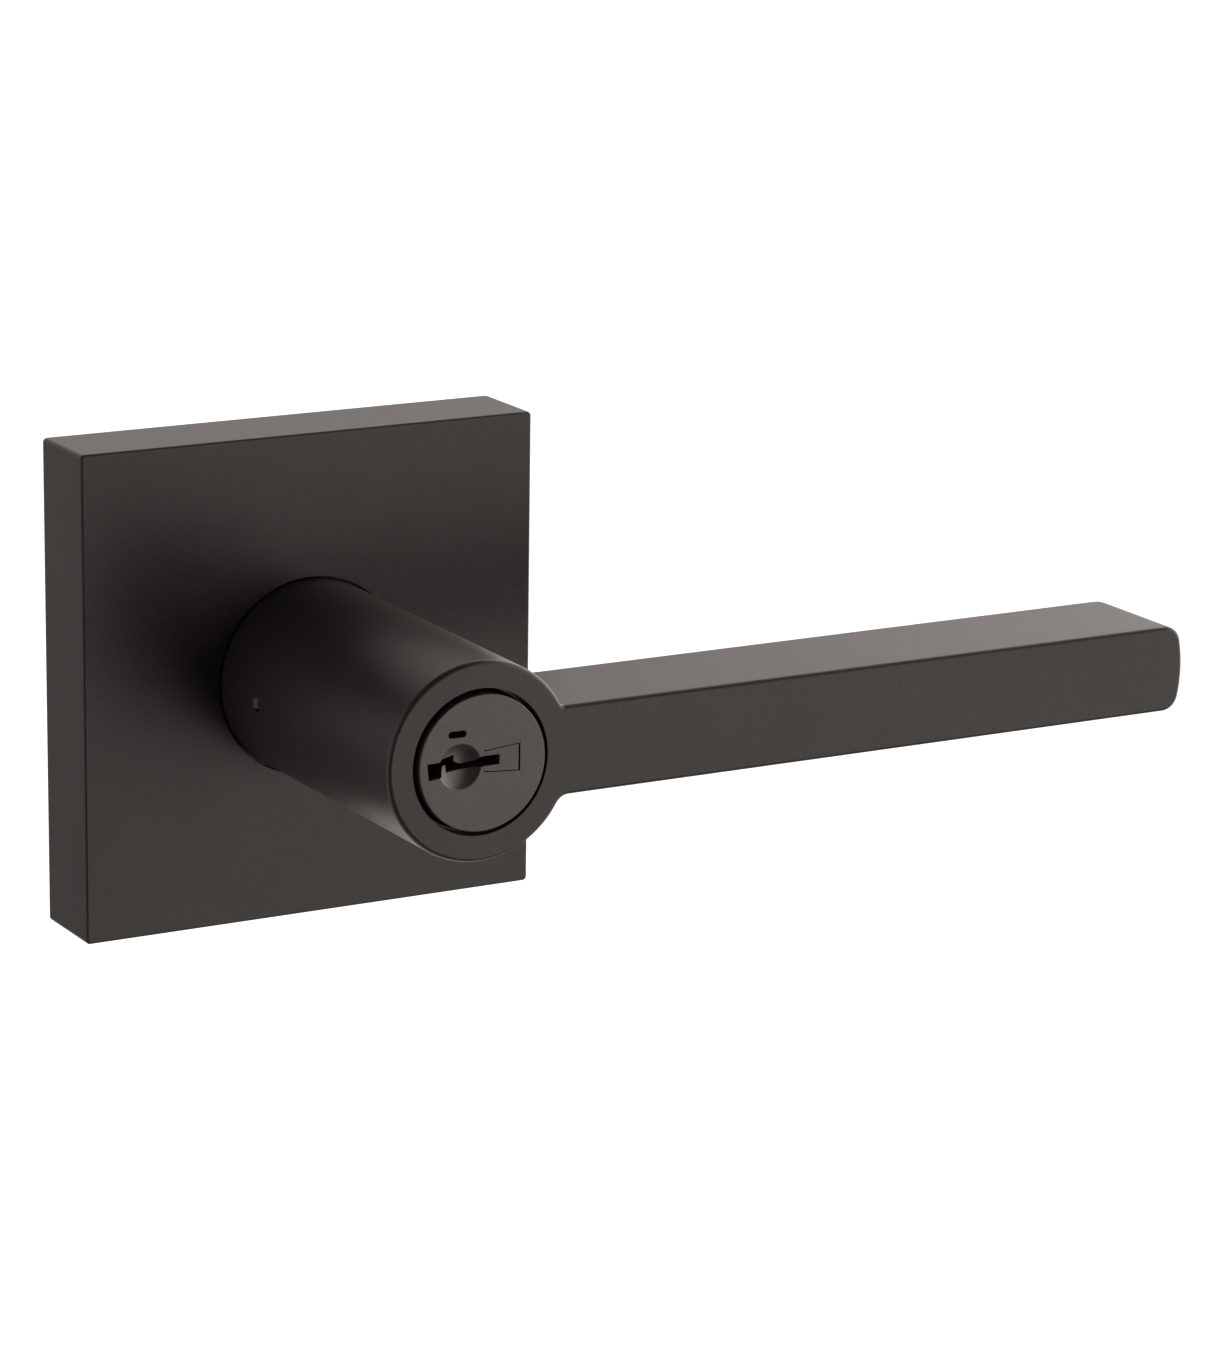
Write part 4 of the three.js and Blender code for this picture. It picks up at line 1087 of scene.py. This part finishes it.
def locking_bar():
    half, side, top = LOCK_BAR.half, LOCK_BAR.side, LOCK_BAR.top
    along = (LOCK_BAR.front, LOCK_BAR.rear)
    tip_half, ridge_foot = LOCK_BAR.tip_half, side - LOCK_BAR.ridge_root
    blade = block(both(half), (LOCK_BLADE.front, LOCK_BLADE.rear), (LOCK_BAR.foot, side))
    rail = block(both(half), along, (LOCK_BAR.ledge, side))
    ridge = prism([
        (-half, ridge_foot), (half, ridge_foot), (half, side), (tip_half, top), (-tip_half, top),
        (-half, side),
    ], *along)
    return join(blade, rail, ridge)


def within_plug(front, rear, x, z):
    """The part of the plug's round, just below its surface, that lies inside a box."""
    box = block(x, beyond(front, rear), z)
    return combine("INTERSECT", disc(PLUG_RADIUS - FLUSH, front, rear), [box])


def plug_cover():
    front, rear = limits("plug_cover")[1]
    past = PLUG_RADIUS + PAST
    across = both(LOCK_BAR.half + GAP)
    blade_room = beyond(LOCK_BLADE.front, LOCK_BLADE.rear, GAP)
    return cut(
        within_plug(front, rear, both(CARRIER.half), (COVER_BOTTOM, past)),
        block(across, blade_room, (COVER_BOTTOM - PAST, past)),
        block(across, beyond(front, rear), (LOCK_BAR.ledge - GAP, past)),
    )


def spring_strip():
    past = PLUG_RADIUS + PAST
    return within_plug(*limits("spring_strip")[1], (STRIP.inner, past), both(STRIP.half))


def tail_cap():
    return ring(TAIL_CAP.inner, TAIL_CAP.outer, *limits("tail_cap")[1])


def torque_bar():
    """The half-round bar that carries the plug's turn. Its flat is at z = 0."""
    end = limits("torque_bar")[1][1]
    half_round = arc(TORQUE_BAR.radius, (0, 0), math.pi, 2 * math.pi, 32)
    head_along, head_deep = (TORQUE_HEAD.front, TORQUE_HEAD.rear), (TORQUE_HEAD.bottom, TORQUE_HEAD.top)
    head = block(both(TORQUE_HEAD.half), head_along, head_deep)
    neck = disc(TORQUE_BAR.neck, TORQUE_HEAD.rear - OVERLAP, TORQUE_BAR.front + OVERLAP, 48)
    return join(head, neck, prism(half_round, TORQUE_BAR.front, end))


# -------- floor, light and camera

FLOOR_DROP = 0.15
FLOOR_REACH = 12.0
CAMERA_AZIMUTH = math.radians(-29.466)
CAMERA_ELEVATION = math.radians(14.539)
CAMERA_ROLL = math.radians(0.809)
CAMERA_AIM = Vector((0.0534, 0.0, -0.00897))
CAMERA_DISTANCE = 0.7283
CAMERA_LENS = 135.155


def floor():
    reach = FLOOR_REACH
    corners = [(-reach, -reach), (reach, -reach), (reach, reach), (-reach, reach)]
    mesh = bpy.data.meshes.new("floor")
    mesh.from_pydata([(x, y, -FLOOR_DROP) for x, y in corners], [], [(0, 1, 2, 3)])
    ground = bpy.data.objects.new("floor", mesh)
    bpy.context.scene.collection.objects.link(ground)
    ground.visible_glossy = False
    ground.visible_diffuse = False
    ground.visible_shadow = False

    material, shader = new_material("pale_floor")
    place = shader.node("ShaderNodeTexCoord").outputs["Object"]
    speckle = shader.noise(place, 30, detail=3)
    tone = shader.remap(speckle, 0.3, 0.7, 0.78, 0.80)
    colour = shader.node("ShaderNodeCombineColor", {0: tone, 1: tone, 2: tone}).outputs["Color"]
    matt = shader.node("ShaderNodeBsdfDiffuse", {"Color": colour})
    glow = shader.node("ShaderNodeEmission", {"Color": (1, 1, 1, 1), "Strength": 0.92})
    both = shader.node("ShaderNodeAddShader", {0: matt.outputs[0], 1: glow.outputs[0]})
    shader.node("ShaderNodeOutputMaterial", {"Surface": both.outputs[0]})
    mesh.materials.append(material)


# The surround turns with the camera, as a studio does round a turntable. Each lobe is a
# direction (right, up, forward from the camera), the cosines between which it comes in, and
# how much light it adds.
SURROUND_BASE = 0.03
SURROUND = [
    ((1.0, -0.15, -0.10), 0.64, 0.88, 1.12),
    ((0.10, 0.25, 0.96), 0.31, 0.93, 0.70),
    ((0.75, 0.35, 0.56), 0.60, 1.0, 2.00),
    ((-0.93, -0.10, -0.35), 0.60, 0.90, 0.62),
    ((-0.60, 0.60, 0.50), 0.70, 1.0, 0.30),
    ((-0.30, -0.82, 0.48), 0.68, 0.95, 0.80),
]
SURROUND_COLOUR = (1.0, 0.93, 0.88, 1.0)


def surround():
    world = bpy.data.worlds.new("studio")
    bpy.context.scene.world = world
    world.use_nodes = True
    shader = Shader(world.node_tree)
    towards = shader.node("ShaderNodeTexCoord").outputs["Camera"]
    strength = SURROUND_BASE
    for direction, start, end, light in SURROUND:
        unit = Vector(direction).normalized()
        cosine = shader.node("ShaderNodeVectorMath", {0: towards, 1: unit}, operation="DOT_PRODUCT")
        inputs = {
            "Value": cosine.outputs["Value"], "From Min": start, "From Max": end,
            "To Min": 0.0, "To Max": light,
        }
        lobe = shader.node("ShaderNodeMapRange", inputs, interpolation_type="SMOOTHSTEP").outputs["Result"]
        strength = shader.maths("ADD", lobe, strength)
    lit = shader.node("ShaderNodeBackground", {"Color": SURROUND_COLOUR, "Strength": strength})
    seen = shader.node("ShaderNodeBackground", {"Color": (1, 1, 1, 1), "Strength": 1.0})
    to_camera = shader.node("ShaderNodeLightPath").outputs["Is Camera Ray"]
    mixed = shader.node("ShaderNodeMixShader", {0: to_camera, 1: lit.outputs[0], 2: seen.outputs[0]})
    shader.node("ShaderNodeOutputWorld", {"Surface": mixed.outputs[0]})


def camera():
    made = bpy.data.objects.new("camera", bpy.data.cameras.new("camera"))
    bpy.context.scene.collection.objects.link(made)
    made.data.lens = CAMERA_LENS
    made.data.clip_start = 0.01
    made.data.clip_end = 100
    flat = math.cos(CAMERA_ELEVATION)
    back = Vector((
        flat * math.sin(CAMERA_AZIMUTH), -flat * math.cos(CAMERA_AZIMUTH), math.sin(CAMERA_ELEVATION),
    ))
    level = Vector((0, 0, 1)).cross(back).normalized()
    rise = back.cross(level)
    right = math.cos(CAMERA_ROLL) * level + math.sin(CAMERA_ROLL) * rise
    up = math.cos(CAMERA_ROLL) * rise - math.sin(CAMERA_ROLL) * level
    made.matrix_world = Matrix.Translation(CAMERA_AIM + back * CAMERA_DISTANCE) @ Matrix(
        (right, up, back)
    ).transposed().to_4x4()
    bpy.context.scene.camera = made


# -------- the whole

# Each of these functions makes the node that it is named after.
for make, edge in (
    (rose_cover, 0), (lever, 0), (plug, 0), (keyway_insert, 0.04), (mounting_plate, 0.12),
    (spring_cage, 0.1), (tube_bush, 0.08), (thrust_washer, 0.08), (drive_tube, 0.1),
    (spring_driver, 0.1), (spindle, 0.08), (lever_catch, 0.12), (cylinder_housing, 0.06),
    (spring_strip, 0.04), (plug_cover, 0.04), (tail_cap, 0.1), (torque_bar, 0.06),
    (locking_bar, 0.05), (rack_carrier, 0.05),
):
    publish(make.__name__, make(), edge)

for name, x in POST_PLACES.items():
    publish(name, post(x))
for name, place in SCREW_PLACES.items():
    publish(name, cage_screw(*place), edge=0.04)
publish("return_spring_left", return_spring(180))
publish("return_spring_right", return_spring(0))
publish("tube_circlip", snap_ring("tube_circlip", TUBE_CLIP, 270), edge=0.06)
publish("spindle_circlip", snap_ring("spindle_circlip", SPINDLE_CLIP, 270), edge=0.06)
publish("plug_clip", snap_ring("plug_clip", PLUG_CLIP, 0), edge=0.04)
for name, y in BAR_SPRING_PLACES.items():
    publish(name, straight_coil("z", BAR_SPRING, (0, y, LOCK_BAR.foot)))

leaf = publish("catch_spring", catch_spring(), edge=0.04)
shorten(leaf)
coil_start = (CARRIER_SPRING.x, CARRIER_SPRING.start, CARRIER_SPRING.z)
back_coil = publish("carrier_spring", straight_coil("y", CARRIER_SPRING, coil_start))
shorten(back_coil)
for i, y in enumerate(PIN_PLACES, 1):
    publish(f"tumbler_pin_{i}", tumbler_pin(y), edge=0.04)
    lift_coil = publish(f"tumbler_spring_{i}", straight_coil("x", PIN_SPRING, (PIN_SPRING.start, y, 0)))
    shorten(lift_coil)
    publish(f"rack_{i}", rack(y), edge=0.04)

floor()
surround()
camera()
bpy.context.scene.view_settings.view_transform = "Standard"
